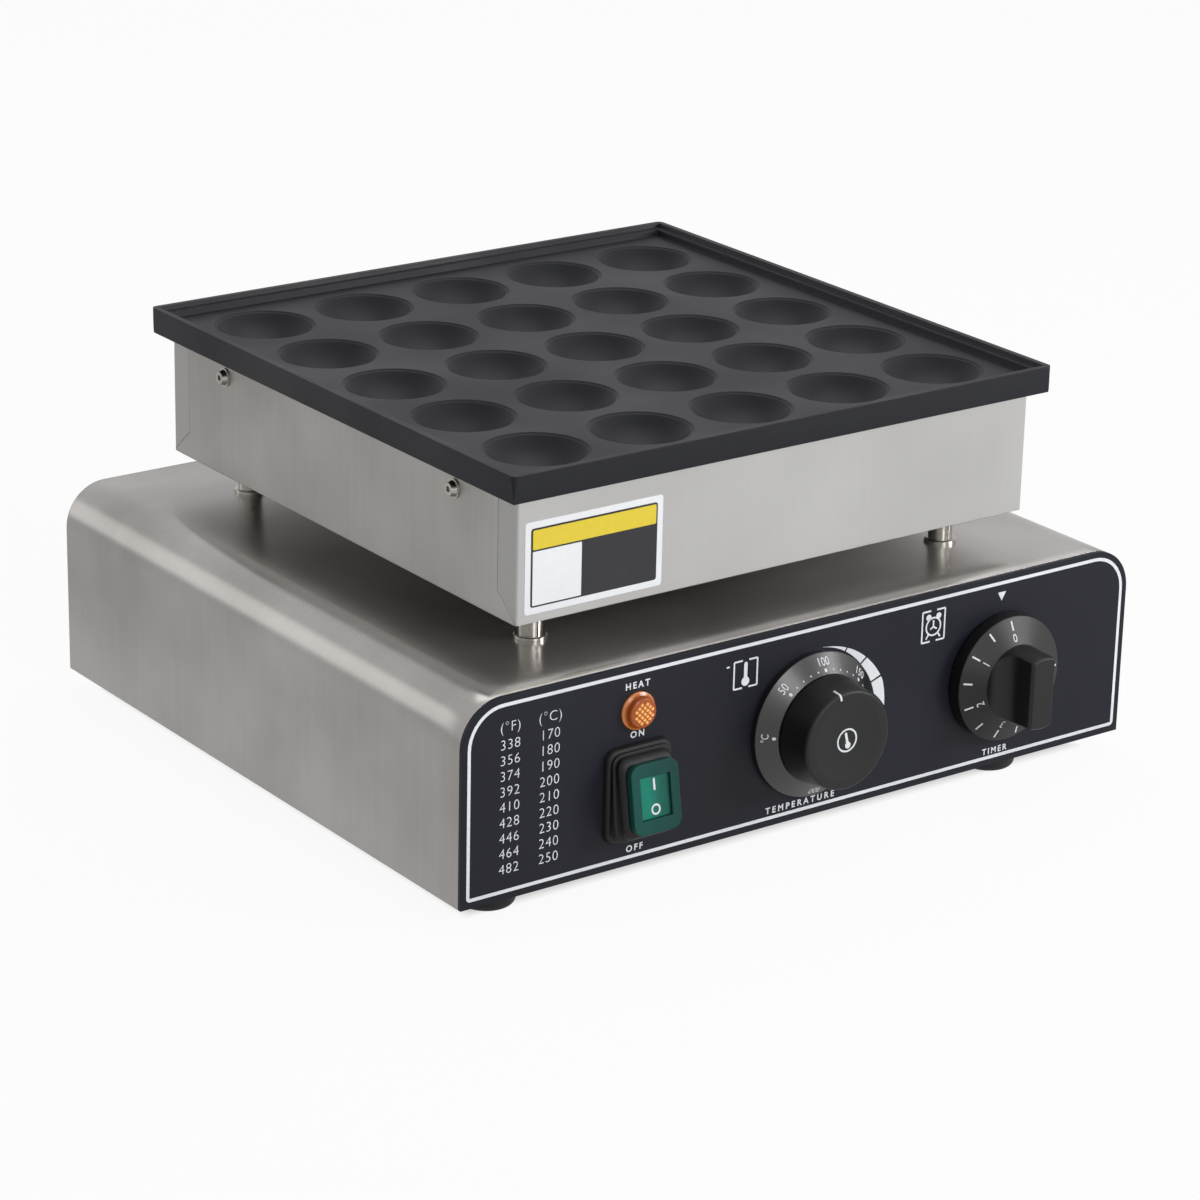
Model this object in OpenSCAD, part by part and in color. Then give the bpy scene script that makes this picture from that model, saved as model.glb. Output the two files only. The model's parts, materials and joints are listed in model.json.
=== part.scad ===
// Countertop griddle for mini pancakes: control base, bake box on four posts, cupped plate.
// Origin on the table under the middle of the outline, +Z up, controls facing -Y.

/* [Base] */
// Width of the base over its sides
base_w = 375; // [350:1:420]
// Depth of the base from front panel to rear edge
base_d = 338; // [320:1:380]
// Height of the base without its feet
base_h = 93; // [92:1:115]
// Outside radius of the two top bends
bend_r = 21; // [8:0.5:26]
// Sheet thickness of the shell
shell_t = 1; // [0.8:0.1:1.5]
// Thickness of the front panel
panel_t = 2; // [1.5:0.1:3]
// Thickness of the rear panel
rear_t = 1; // [0.8:0.1:1.5]
// Thickness of the bottom plate
bottom_t = 1.2; // [0.8:0.1:2]
// Width of the folded edges inside the base
return_w = 12; // [8:0.5:16]

/* [Feet] */
// Diameter of a rubber foot
foot_d = 26; // [20:1:32]
// Height of a rubber foot
foot_h = 10; // [9:0.5:20]
// Radius of the worn lower edge of a foot
foot_edge_r = 3.5; // [1:0.5:5]
// Middle of the left feet from the left side
foot_left_in = 27.5; // [26:0.5:60]
// Middle of the right feet from the right side
foot_right_in = 62.5; // [26:0.5:75]
// Middle of the feet from the front and rear faces
foot_end_in = 21; // [20:0.5:40]

/* [Posts] */
// Outside diameter of a post tube
post_d = 11.2; // [9.6:0.1:13]
// Clear height between base and bake box
post_gap = 18; // [14:0.5:40]
// Middle of the posts from the bake box walls
post_in = 26; // [22:0.5:40]
// Diameter of the hollow threaded rod in a post
post_rod_d = 8; // [7:0.1:9]
// Bore of the hollow threaded rod
post_rod_bore = 6; // [5:0.1:6.4]
// Diameter of the washer under a post
post_washer_d = 15; // [14:0.5:20]
// Thickness of that washer
post_washer_t = 2; // [1:0.1:2.4]
// Width of the seam along a post tube
post_seam_w = 0.6; // [0.3:0.1:1]

/* [Bake box] */
// Width of the bake box
box_w = 285; // [256:0.5:310]
// Depth of the bake box
box_d = 285; // [256:0.5:290]
// Height of the bake box up to the plate's skirt
box_h = 57.5; // [54:0.5:80]
// Sheet thickness of the bake box
box_t = 1; // [0.8:0.1:1.5]
// Width of the flaps folded round the corners
flap_w = 14; // [10:0.5:18]
// Height of the mitre at the foot of a flap
flap_mitre_h = 12.5; // [8:0.5:20]
// Gap along the flap seams
seam_gap = 0.3; // [0.2:0.05:0.6]
// Outside radius of the folded corners
fold_r = 1.5; // [1.2:0.1:3]

/* [Griddle plate] */
// Reach of the plate's rim past the bake box
plate_over = 7.5; // [7:0.1:11]
// Height of the plate's skirt up to the rim
skirt_h = 12.5; // [11.5:0.1:18]
// Lean of the skirt over its height
skirt_lean = 1; // [0.5:0.1:1.5]
// Thickness of the skirt
skirt_t = 4; // [3:0.1:4.5]
// Radius of the plate's corners
plate_corner_r = 3; // [2:0.1:5]
// Depth of the tray floor under the rim
tray_depth = 5; // [4.5:0.1:5.5]
// Width of the flat top of the rim
rim_t = 3; // [2:0.1:4]
// Width of the ledge inside the rim
ledge_w = 3; // [2:0.1:3.5]
// Depth of the ledge under the rim
ledge_h = 2; // [1:0.1:3]
// Lean of the tray walls
tray_lean = 0.6; // [0.3:0.1:0.8]
// Thickness of the tray floor
floor_t = 5; // [4.5:0.1:5.5]
// Cups along each side
cup_count = 5; // [5:1:5]
// Middle of the outer cups from the bake box walls
cup_in = 31.5; // [31:0.1:34]
// Land between neighbouring cups
cup_land = 9.5; // [8.5:0.1:13]
// Depth of a cup
cup_depth = 12; // [10:0.5:13]
// Wall under a cup
cup_wall = 4; // [3:0.1:4.5]
// Height of the small flat at the bottom of a cup, inside and under
cup_flat = 0.1; // [0.05:0.05:0.5]
// Width of the broken edge round a cup
cup_lip = 0.8; // [0.4:0.1:1.2]

/* [Plate screws] */
// Side screws from the front and rear of the bake box
lug_in = 47.5; // [42.5:0.5:62.5]
// Screw axis below the skirt
lug_drop = 9; // [8.5:0.1:14]
// Width of a cast lug
lug_w = 16; // [12:0.5:20]
// Depth of a cast lug
lug_d = 12; // [9:0.5:14]
// Shank diameter of the screws
screw_d = 4; // [3:0.1:4.5]
// Head diameter of a plate screw
screw_head_d = 7.6; // [7:0.1:8.5]
// Head height of a plate screw
screw_head_h = 2.4; // [2:0.1:3]
// Hexagon of a plate screw across its corners
screw_hex_d = 3; // [2.5:0.1:3.6]
// Diameter of a plate washer
plate_washer_d = 9; // [8.6:0.1:11]
// Thickness of a plate washer
plate_washer_t = 0.8; // [0.5:0.1:1.2]

/* [Heater] */
// Diameter of the tubular heating element
element_d = 6.6; // [6:0.1:7]
// Length of the terminal pins on the element
element_pin_l = 8; // [5:0.5:9]
// Width of a clamp bar
clamp_w = 14; // [12:0.5:16]
// Thickness of a clamp bar
clamp_t = 2; // [1.5:0.1:2.5]
// Height of the insulation pad
pad_h = 28; // [20:0.5:30]
// Thickness of the heat reflector
reflector_t = 0.8; // [0.5:0.1:1]
// Diameter of the temperature probe
probe_d = 6; // [5:0.1:6.4]
// Length of the temperature probe
probe_l = 70; // [50:1:90]
// Diameter of the probe's capillary
capillary_d = 2; // [1.5:0.1:2.4]
// Diameter of the insulated wires
wire_d = 2.6; // [2:0.1:3]

/* [Switch and lamp] */
// Switch and lamp from the left side
switch_in = 90.9; // [72.5:0.1:102.5]
// Height of the switch on the panel
switch_z = 35; // [33:0.5:38]
// Width of the green rocker frame
rocker_w = 25; // [23.5:0.1:27]
// Height of the green rocker frame
rocker_h = 31.4; // [30:0.1:34]
// Corner radius of the rocker frame
rocker_r = 5; // [3:0.1:7]
// Thickness of the rocker frame's face
rocker_t = 3; // [2.4:0.1:4]
// Face of the rocker from the panel
rocker_out = 15.2; // [14.5:0.1:17]
// Lean of the rocker when switched on
rocker_lean = 9.5; // [6:0.5:9.5]
// Pivot of the rocker from the panel
rocker_pivot = 4; // [3.6:0.1:4.4]
// Width of the window in the rocker frame
window_w = 16; // [13:0.1:17]
// Height of the window in the rocker frame
window_h = 19; // [16:0.1:20]
// Depth of the rocker's face in the window
rocker_sunk = 1.2; // [0.5:0.1:1.8]
// Spread of the boot's foot round its collar
boot_flare = 3; // [1.6:0.1:4]
// Wall of the boot at its collar
boot_wall = 3.2; // [2.4:0.1:3.6]
// Height of the boot
boot_h = 7.2; // [6:0.1:7.4]
// Folds round the boot above its foot
fold_count = 2; // [1:1:3]
// Depth of the groove between two folds
fold_depth = 1.5; // [0.8:0.1:1.6]
// Lamp from the top of the panel
lamp_drop = 21.2; // [19:0.1:23]
// Diameter of the lamp's flange
lamp_d = 17.2; // [16:0.1:18]
// Diameter of the lamp's lens
lens_d = 14.2; // [13:0.1:15]
// Face of the lens from the panel
lens_out = 5; // [4:0.1:8]

/* [Dials] */
// Temperature dial from the middle of the panel
dial_x = 0; // [-20:0.5:20]
// Height of both dials on the panel
dial_z = 45; // [44:0.5:47]
// Diameter of the fixed dial ring
dial_d = 68; // [62:0.5:70]
// Height of the dial ring's outer edge
dial_edge_h = 3; // [2:0.1:4]
// Height of the dial ring under the knob
dial_h = 8.8; // [6:0.1:10]
// Diameter of the temperature knob at the ring
knob_d = 50; // [46:0.5:54]
// Diameter of the temperature knob at its face
knob_face_d = 46.4; // [42:0.1:50]
// Face of the temperature knob from the panel
knob_out = 26; // [22:0.5:28]
// Depth of the hollow in the knob's face
knob_dish = 1; // [0.5:0.1:1.5]
// Timer from the right side
timer_in = 77.5; // [67.5:0.5:92.5]
// Diameter of the timer knob's skirt
timer_d = 60; // [54:0.5:66]
// Height of the skirt's edge
timer_edge_h = 7.3; // [6:0.1:8]
// Height of the skirt at the hub
timer_hub_h = 12.5; // [11:0.1:13.5]
// Height of the timer knob's grip
grip_h = 34.5; // [30:0.5:36]
// Width of the timer knob's grip
grip_w = 14; // [12:0.1:16]
// Face of the timer knob from the panel
timer_out = 31; // [28:0.5:34]
// Broken edge along the grip's face, half of it at the round ends
grip_edge = 1.2; // [0.5:0.1:2]
// Diameter of the control shafts
shaft_d = 6; // [5:0.1:6.4]

/* [Cable gland] */
// Gland from the right side
gland_in = 57.5; // [42.5:0.5:97.5]
// Height of the gland on the rear panel
gland_z = 42; // [36:0.5:56]
// Bore of the gland
gland_bore_d = 8; // [6:0.1:9]
// Thread diameter of the gland
gland_thread_d = 16; // [14:0.1:18]
// Hexagon of the gland across its corners
gland_hex_d = 23; // [22:0.1:26]
// Length of the gland behind the panel
gland_out = 24; // [18:0.5:28]

/* [Hidden] */
$fn = 64;

// Clearances: between sheets, in threads, round turning shafts, and how far a cutter overshoots
fit = 0.3;
thread_gap = 0.1;
run_gap = 0.05;
over = 1;

// Levels from the table up
base_z = foot_h;
base_top = base_z + base_h;
box_z = base_top + post_gap;
skirt_z = box_z + box_h;
rim_z = skirt_z + skirt_h;
floor_z = rim_z - tray_depth;
under_z = floor_z - floor_t;
pad_z = box_z + box_t;
reflector_z = pad_z + pad_h;

// Depth: the timer knob reaches out in front and the gland behind, so the casing sits between them
seat_y = (timer_out - gland_out) / 2;
front_y = seat_y - base_d / 2;
rear_y = seat_y + base_d / 2;
inner_front_y = front_y + panel_t;
inner_rear_y = rear_y - rear_t;

// Controls, lamp and gland on the casing
switch_x = -base_w / 2 + switch_in;
timer_x = base_w / 2 - timer_in;
lamp_z = base_h - lamp_drop;
gland_x = base_w / 2 - gland_in;

// Places that several pieces share
inner_w = base_w - 2 * (shell_t + fit);
floor_top_z = base_z + bottom_t;
foot_places = [
    for (x = [-base_w / 2 + foot_left_in, base_w / 2 - foot_right_in])
        for (y = [front_y + foot_end_in, rear_y - foot_end_in]) [x, y]
];
post_x = box_w / 2 - post_in;
post_y = box_d / 2 - post_in;
post_places = [for (sx = [-1, 1]) for (sy = [-1, 1]) [sx * post_x, seat_y + sy * post_y]];
lug_y = box_d / 2 - lug_in;
lug_places = [for (sx = [-1, 1]) for (sy = [-1, 1]) [sx, seat_y + sy * lug_y]];
lug_z = skirt_z - lug_drop;
lug_face_x = box_w / 2 - box_t;
plate_w = box_w + 2 * plate_over;
plate_d = box_d + 2 * plate_over;
cup_half = (cup_count - 1) / 2;
pitch_x = (box_w - 2 * cup_in) / (cup_count - 1);
pitch_y = (box_d - 2 * cup_in) / (cup_count - 1);
cup_d = min(pitch_x, pitch_y) - cup_land;
cup_places = [
    for (i = [-cup_half : cup_half]) for (j = [-cup_half : cup_half]) [i * pitch_x, seat_y + j * pitch_y]
];
bowl_r = (pow(cup_d / 2, 2) + pow(cup_depth, 2)) / (2 * cup_depth);
bowl_z = floor_z - cup_depth + bowl_r;

// Small hardware
head_wide = 2;
head_high = 0.6;
head_taper = 0.75;
pan_head_d = head_wide * screw_d;
pan_head_h = head_high * screw_d;
nut_d = 2 * screw_d;
nut_h = 0.8 * screw_d;
post_nut_d = 1.8 * post_rod_d;
post_nut_h = 0.6 * post_rod_d;
post_thread_out = 3;
bottom_screw_d = 3;
bottom_screw_l = 6;
bottom_screw_rows = 3;
bottom_screw_end = 3 * return_w;
vent_w = 3;
vent_l = 30;
vent_pitch = 8;
vent_count = 9;
rear_vent_z = 0.55 * base_h;

// Heater layout: the element runs between the rows of cups and turns round the cups next to the edge
element_z = under_z - element_d / 2 - thread_gap;
run_y = [for (j = [-cup_half + 0.5 : cup_half - 0.5]) j * pitch_y];
turn_r = pitch_y / 2;
turn_x = (cup_half - 0.5) * pitch_x - turn_r;
element_end_x = cup_half * pitch_x + turn_r / 2;
clamp_top_z = element_z - element_d / 2;
clamp_x = pitch_x / 2;
clamp_l = 2 * max(run_y) + 2 * clamp_w;
clamp_boss_wall = 2.5;
clamp_boss_d = screw_d + 2 * clamp_boss_wall;
clamp_boss_gap = 0.5;
clamp_screw_y = [for (j = [-1 : 1]) j * pitch_y];
clamp_screw_l = under_z - clamp_top_z + clamp_t - over;
clip_t = 0.8;
probe_x = box_w / 2 - box_t - fit - clip_t - thread_gap - probe_d / 2;
probe_z = under_z - probe_d / 2 - thread_gap;
clip_w = 10;
clip_tab = 12;
clip_y = seat_y + pitch_y / 2;
clip_screw_x = probe_x - probe_d / 2 - clip_t - clip_tab / 2;
post_hole_gap = 3;
post_hole_d = post_nut_d + 2 * post_hole_gap;

// Way past the lugs for the wires inside the bake box
clear_x = lug_face_x - lug_d - 2 * wire_d;
under_lug_z = lug_z - lug_w / 2 - 1.5 * wire_d;

// Switch layout, measured out from the panel
rocker_skirt_t = 1.6;
cradle_gap_x = 0.65;
cradle_gap_z = 0.8;
cradle_w = rocker_w - 4 * rocker_skirt_t - 2 * cradle_gap_x;
cradle_h = rocker_h - 4 * rocker_skirt_t - 2 * cradle_gap_z;
cradle_out = rocker_pivot + 2;
cradle_back = 28;
cradle_wall = 1.8;
cradle_flange = 1.6;
rocker_back = rocker_pivot + 1;
pivot_d = 3;
collar_gap_x = 0.6;
collar_gap_z = 2;

// Lamp layout, measured out from the panel
lamp_stem_gap = 1;
lamp_hole_d = lens_d - 2 * lamp_stem_gap;
lamp_stem_d = lamp_hole_d - fit;
lamp_flange_h = 1.6;
lamp_holder_d = lens_d + 2;
lamp_holder_l = 26;

// Dial and timer layout, measured out from the panel
bush_d = 9;
bush_out = 3;
thermostat_d = 34;
thermostat_l = 26;
thermostat_bracket_w = 44;
bracket_t = 1.5;
knob_gap = 0.6;
knob_wall = 2;
knob_edge_r = 1.2;
knob_dish_r = 0.8 * knob_face_d / 2;
knob_hub_d = 13;
shaft_in = 14;
timer_gap = 1;
timer_case = 44;
timer_case_l = 30;
timer_bracket_h = 53;
grip_scoop_r = 9;
hub_flare = 1;
timer_hub_d = grip_h + hub_flare;
socket_l = 10;
flat_depth = 1;

// Cable gland layout
gland_nut_h = 5;
gland_thread_l = rear_t + gland_nut_h + 7;
gland_cap_d = 0.8 * gland_hex_d;
gland_mouth_d = gland_bore_d + 4;

// Terminal block and the backs of the controls, where the wires end
pole_count = 3;
pole_w = 11;
terminal_d = 20;
terminal_h = 16;
well_depth = terminal_h / 4;
terminal_x = gland_x - gland_hex_d - pole_count * pole_w;
terminal_y = rear_y - 3 * terminal_d;
terminal_at = [terminal_x, terminal_y, floor_top_z + terminal_h / 2];
earth_stud_l = 14;
control_back = panel_t + bracket_t;
timer_back = [timer_x, front_y + control_back + timer_case_l, base_z + dial_z];
dial_back = [dial_x, front_y + control_back + thermostat_l, base_z + dial_z];
switch_back = [switch_x, front_y + cradle_back, base_z + switch_z];
lamp_back = [switch_x, front_y + panel_t + lamp_holder_l, base_z + lamp_z];

// Outline with square bottom corners and round top corners
module arch_2d(w, h, r) {
    translate([-w / 2, 0])
        square([w, h - r]);
    translate([-w / 2 + r, 0])
        square([w - 2 * r, h]);
    for (side = [-1, 1])
        translate([side * (w / 2 - r), h - r])
            circle(r);
}

// Sheet bent along that outline, open below
module arch_sheet_2d(w, h, r, t) {
    difference() {
        arch_2d(w, h, r);
        translate([0, -over])
            arch_2d(w - 2 * t, h - t + over, max(r - t, t));
    }
}

// Rectangle about the origin with round corners
module round_2d(w, d, r) {
    square([w - 2 * r, d], center = true);
    square([w, d - 2 * r], center = true);
    for (sx = [-1, 1], sy = [-1, 1])
        translate([sx * (w / 2 - r), sy * (d / 2 - r)])
            circle(r);
}

// Block whose four sides lean: w0 by d0 at z0, w1 by d1 at z1
module leaning_block(w0, d0, w1, d1, z0, z1) {
    intersection() {
        rotate([90, 0, 0])
            linear_extrude(max(d0, d1) + over, center = true)
                polygon([[-w0 / 2, z0], [w0 / 2, z0], [w1 / 2, z1], [-w1 / 2, z1]]);
        rotate([90, 0, 90])
            linear_extrude(max(w0, w1) + over, center = true)
                polygon([[-d0 / 2, z0], [d0 / 2, z0], [d1 / 2, z1], [-d1 / 2, z1]]);
    }
}

// Puts a shape on the front panel: x right, y up, z out of the panel
module on_panel(x, z) {
    translate([x, front_y, base_z + z])
        rotate([90, 0, 0])
            children();
}

// Puts a shape on the rear panel: z out of the panel
module on_rear(x, z) {
    translate([x, rear_y, base_z + z])
        rotate([90, 0, 180])
            children();
}

// Stands an outline up across the casing, from one depth to another
module across(y0, y1) {
    translate([0, y1, base_z])
        rotate([90, 0, 0])
            linear_extrude(y1 - y0)
                children();
}

// Hexagon nut standing on its lower face
module nut(d, h, hole) {
    difference() {
        cylinder(h = h, d = d, $fn = 6);
        translate([0, 0, -over])
            cylinder(h = h + 2 * over, d = hole);
    }
}

// Pan head screw pointing up, head below the origin
module pan_screw(d, l, head_d, head_h) {
    cylinder(h = l, d = d);
    translate([0, 0, -head_h])
        cylinder(h = head_h, d1 = head_taper * head_d, d2 = head_d);
}

// Row of upright vent slots
module vent_row() {
    for (i = [0 : vent_count - 1])
        translate([(i - (vent_count - 1) / 2) * vent_pitch, 0])
            round_2d(vent_w, vent_l, vent_w / 2 - fit / 2);
}

// Points of a smooth run through corner points, ends kept
function eased(p) = concat(
    [p[0]],
    [for (i = [0 : len(p) - 2]) each [0.75 * p[i] + 0.25 * p[i + 1], 0.25 * p[i] + 0.75 * p[i + 1]]],
    [p[len(p) - 1]]
);
function unit(v) = v / norm(v);
function heading(p, i) = unit(
    (i > 0 ? unit(p[i] - p[i - 1]) : [0, 0, 0]) + (i < len(p) - 1 ? unit(p[i + 1] - p[i]) : [0, 0, 0])
);
function square_to(n, t) = unit(n - (n * t) * t);
function carried(p, i) = i == 0
    ? square_to(abs(heading(p, 0).z) > 0.9 ? [1, 0, 0] : [0, 0, 1], heading(p, 0))
    : square_to(carried(p, i - 1), heading(p, i));

// Round wire along a list of points
module wire(points, d, sides = 8) {
    p = eased(eased(points));
    n = len(p);
    rings = [
        for (i = [0 : n - 1])
            let (u = carried(p, i), v = cross(heading(p, i), u))
            for (k = [0 : sides - 1]) p[i] + d / 2 * (cos(360 * k / sides) * u + sin(360 * k / sides) * v)
    ];
    walls = [
        for (i = [0 : n - 2]) for (k = [0 : sides - 1])
            let (a = i * sides + k, b = i * sides + (k + 1) % sides)
            each [[a, a + sides, b + sides], [a, b + sides, b]]
    ];
    cap = [for (k = [0 : sides - 1]) k];
    end_cap = [for (k = [0 : sides - 1]) n * sides - 1 - k];
    polyhedron(rings, concat(walls, [cap, end_cap]));
}

// Bent steel top and sides of the base, with folded lower edges
module base_shell() {
    lip_z = base_z + bottom_t;
    color("silver")
        difference() {
            union() {
                across(inner_front_y, rear_y)
                    arch_sheet_2d(base_w, base_h, bend_r, shell_t);
                for (side = [0, 1])
                    mirror([side, 0, 0])
                        translate([-base_w / 2, inner_front_y + return_w, lip_z])
                            cube([return_w, base_d - panel_t - 2 * return_w, shell_t]);
            }
            for (p = post_places)
                translate([p.x, p.y, base_top - shell_t - over])
                    cylinder(h = shell_t + 2 * over, d = post_rod_d + 2 * thread_gap);
            bottom_screw_holes(bottom_screw_d + thread_gap);
        }
}

// Places where the bottom plate is screwed to the folded edges
module at_bottom_screws() {
    pitch = (base_d - 2 * bottom_screw_end) / (bottom_screw_rows - 1);
    for (side = [-1, 1], i = [0 : bottom_screw_rows - 1])
        translate([
            side * (base_w / 2 - shell_t - return_w / 2),
            inner_front_y + bottom_screw_end + i * pitch,
            base_z
        ])
            children();
}

module bottom_screw_holes(d) {
    at_bottom_screws()
        translate([0, 0, -over])
            cylinder(h = bottom_t + shell_t + 2 * over, d = d);
}

// Black front panel with the casing's outline and a folded edge inside
module front_panel() {
    fold_z = bottom_t + shell_t + fit;
    color("#2b2c31")
        difference() {
            union() {
                across(front_y, inner_front_y)
                    arch_2d(base_w, base_h, bend_r);
                across(inner_front_y, inner_front_y + return_w - fit)
                    intersection() {
                        arch_sheet_2d(inner_w, base_h - shell_t - fit, bend_r - shell_t - fit, shell_t);
                        translate([-base_w / 2, fold_z])
                            square([base_w, base_h]);
                    }
            }
            on_panel(switch_x, switch_z)
                cube([cradle_w + 2 * fit, cradle_h + 2 * fit, 2 * (panel_t + over)], center = true);
            on_panel(switch_x, lamp_z)
                cylinder(h = 2 * (panel_t + over), d = lamp_hole_d, center = true);
            for (x = [dial_x, timer_x])
                on_panel(x, dial_z)
                    cylinder(h = 2 * (panel_t + over), d = bush_d + fit, center = true);
        }
}

// Rear panel with vent slots and the gland hole, edges folded forwards
module rear_panel() {
    w = inner_w;
    h = base_h - shell_t - fit;
    r = bend_r - shell_t - fit;
    fold_z = bottom_t + shell_t + fit;
    color("silver")
        difference() {
            union() {
                across(inner_rear_y, rear_y)
                    arch_2d(w, h, r);
                across(inner_rear_y - return_w + fit, inner_rear_y)
                    intersection() {
                        arch_sheet_2d(w, h, r, shell_t);
                        translate([-w / 2, fold_z])
                            square([w, h]);
                    }
            }
            across(inner_rear_y - over, rear_y + over)
                for (side = [-1, 1])
                    translate([side * (vent_count + 1) * vent_pitch / 2, rear_vent_z])
                        vent_row();
            on_rear(gland_x, gland_z)
                cylinder(h = 2 * (rear_t + over), d = gland_thread_d + fit, center = true);
        }
}

// Bottom plate with two rows of vents and the foot holes
module bottom_plate() {
    y0 = inner_front_y + fit;
    y1 = inner_rear_y - fit;
    color("gray")
        difference() {
            translate([-inner_w / 2, y0, base_z])
                cube([inner_w, y1 - y0, bottom_t]);
            for (side = [-1, 1])
                translate([0, seat_y + side * base_d / 5, base_z - over])
                    linear_extrude(bottom_t + 2 * over)
                        vent_row();
            for (p = foot_places)
                translate([p.x, p.y, base_z - over])
                    cylinder(h = bottom_t + 2 * over, d = screw_d + fit);
            bottom_screw_holes(bottom_screw_d + fit);
        }
}

module bottom_screws() {
    color("lightgray")
        at_bottom_screws()
            pan_screw(
                bottom_screw_d, bottom_screw_l, head_wide * bottom_screw_d, head_high * bottom_screw_d
            );
}

// Soft feet with a sunk screw
module rubber_feet() {
    color("#1c1c1e")
        for (p = foot_places)
            translate([p.x, p.y, 0])
                difference() {
                    rotate_extrude() {
                        square([foot_d / 2 - foot_edge_r, foot_h]);
                        translate([0, foot_edge_r])
                            square([foot_d / 2, foot_h - foot_edge_r]);
                        translate([foot_d / 2 - foot_edge_r, foot_edge_r])
                            circle(foot_edge_r);
                    }
                    translate([0, 0, -over])
                        cylinder(h = foot_h + 2 * over, d = screw_d + fit);
                    translate([0, 0, -over])
                        cylinder(h = foot_h / 2 + over, d = pan_head_d + 2 * fit);
                }
}

module foot_screws() {
    color("lightgray")
        for (p = foot_places)
            translate([p.x, p.y, foot_h / 2])
                pan_screw(screw_d, foot_h / 2 + bottom_t + nut_h + over, pan_head_d, pan_head_h);
}

module foot_nuts() {
    color("lightgray")
        for (p = foot_places)
            translate([p.x, p.y, floor_top_z])
                nut(nut_d, nut_h, screw_d + 2 * thread_gap);
}

// Rolled tubes with an open seam, between the washers and the bake box
module post_tubes() {
    z0 = base_top + post_washer_t;
    color("silver")
        for (p = post_places)
            translate([p.x, p.y, z0])
                difference() {
                    cylinder(h = box_z - z0, d = post_d);
                    translate([0, 0, -over])
                        cylinder(h = box_z - z0 + 2 * over, d = post_rod_d + 2 * thread_gap);
                    translate([-post_seam_w / 2, -post_d, -over])
                        cube([post_seam_w, post_d, box_z - z0 + 2 * over]);
                }
}

// Thick washers with a broken upper edge
module post_washers() {
    rim_r = post_washer_d / 2;
    broken = post_washer_t / 3;
    color("silver")
        for (p = post_places)
            translate([p.x, p.y, base_top])
                rotate_extrude()
                    polygon([
                        [post_rod_d / 2 + thread_gap, 0], [rim_r, 0], [rim_r, post_washer_t - broken],
                        [rim_r - broken, post_washer_t], [post_rod_d / 2 + thread_gap, post_washer_t]
                    ]);
}

// Hollow threaded rods that clamp the bake box down and lead the wires up
module post_rods() {
    z0 = base_top - shell_t - post_nut_h - post_thread_out;
    z1 = pad_z + post_nut_h + post_thread_out;
    color("lightgray")
        for (p = post_places)
            translate([p.x, p.y, z0])
                difference() {
                    cylinder(h = z1 - z0, d = post_rod_d);
                    translate([0, 0, -over])
                        cylinder(h = z1 - z0 + 2 * over, d = post_rod_bore);
                }
}

module post_nuts() {
    color("lightgray")
        for (p = post_places, z = [base_top - shell_t - post_nut_h, pad_z])
            translate([p.x, p.y, z])
                nut(post_nut_d, post_nut_h, post_rod_d + 2 * thread_gap);
}

// Floor of the bake box with its left and right walls, cut back for the flaps
module bake_box_tray() {
    d = box_d / 2 - box_t - seam_gap;
    flap_y = box_d / 2 - flap_w;
    slope = flap_mitre_h / flap_w;
    half = [
        [d, box_z],
        [d, box_z + slope * box_t],
        [flap_y - seam_gap, box_z + flap_mitre_h],
        [flap_y - seam_gap, under_z]
    ];
    outline = concat(half, [for (i = [len(half) - 1 : -1 : 0]) [-half[i].x, half[i].y]]);
    color("#c9c8c4")
        translate([0, seat_y, 0])
            difference() {
                union() {
                    translate([-box_w / 2, -d, box_z])
                        cube([box_w, 2 * d, box_t]);
                    for (x = [-box_w / 2, box_w / 2 - box_t])
                        translate([x, 0, 0])
                            rotate([90, 0, 90])
                                linear_extrude(box_t)
                                    polygon(outline);
                }
                for (p = post_places)
                    translate([p.x, p.y - seat_y, box_z - over])
                        cylinder(h = box_t + 2 * over, d = post_rod_d + 2 * thread_gap);
                for (sy = [-1, 1])
                    translate([0, sy * lug_y, lug_z])
                        rotate([0, 90, 0])
                            cylinder(h = box_w + 2 * over, d = screw_d + fit, center = true);
            }
}

// One end sheet of the bake box: a flap is folded round each corner and mitred at its foot
module box_end() {
    inner = box_d / 2 - box_t;
    flap_y = box_d / 2 - flap_w;
    foot_z = box_z + box_t * flap_mitre_h / flap_w;
    difference() {
        translate([0, flap_y, box_z])
            linear_extrude(under_z - box_z)
                arch_sheet_2d(box_w, flap_w, fold_r, box_t);
        translate([-box_w, 0, 0])
            rotate([90, 0, 90])
                linear_extrude(2 * box_w)
                    polygon([
                        [inner, box_z - over], [inner, foot_z], [flap_y, box_z + flap_mitre_h],
                        [flap_y - over, box_z + flap_mitre_h], [flap_y - over, box_z - over]
                    ]);
    }
}

module bake_box_front() {
    color("#d2d1cd")
        translate([0, seat_y, 0])
            mirror([0, 1, 0])
                box_end();
}

module bake_box_rear() {
    color("#d2d1cd")
        translate([0, seat_y, 0])
            box_end();
}

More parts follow.
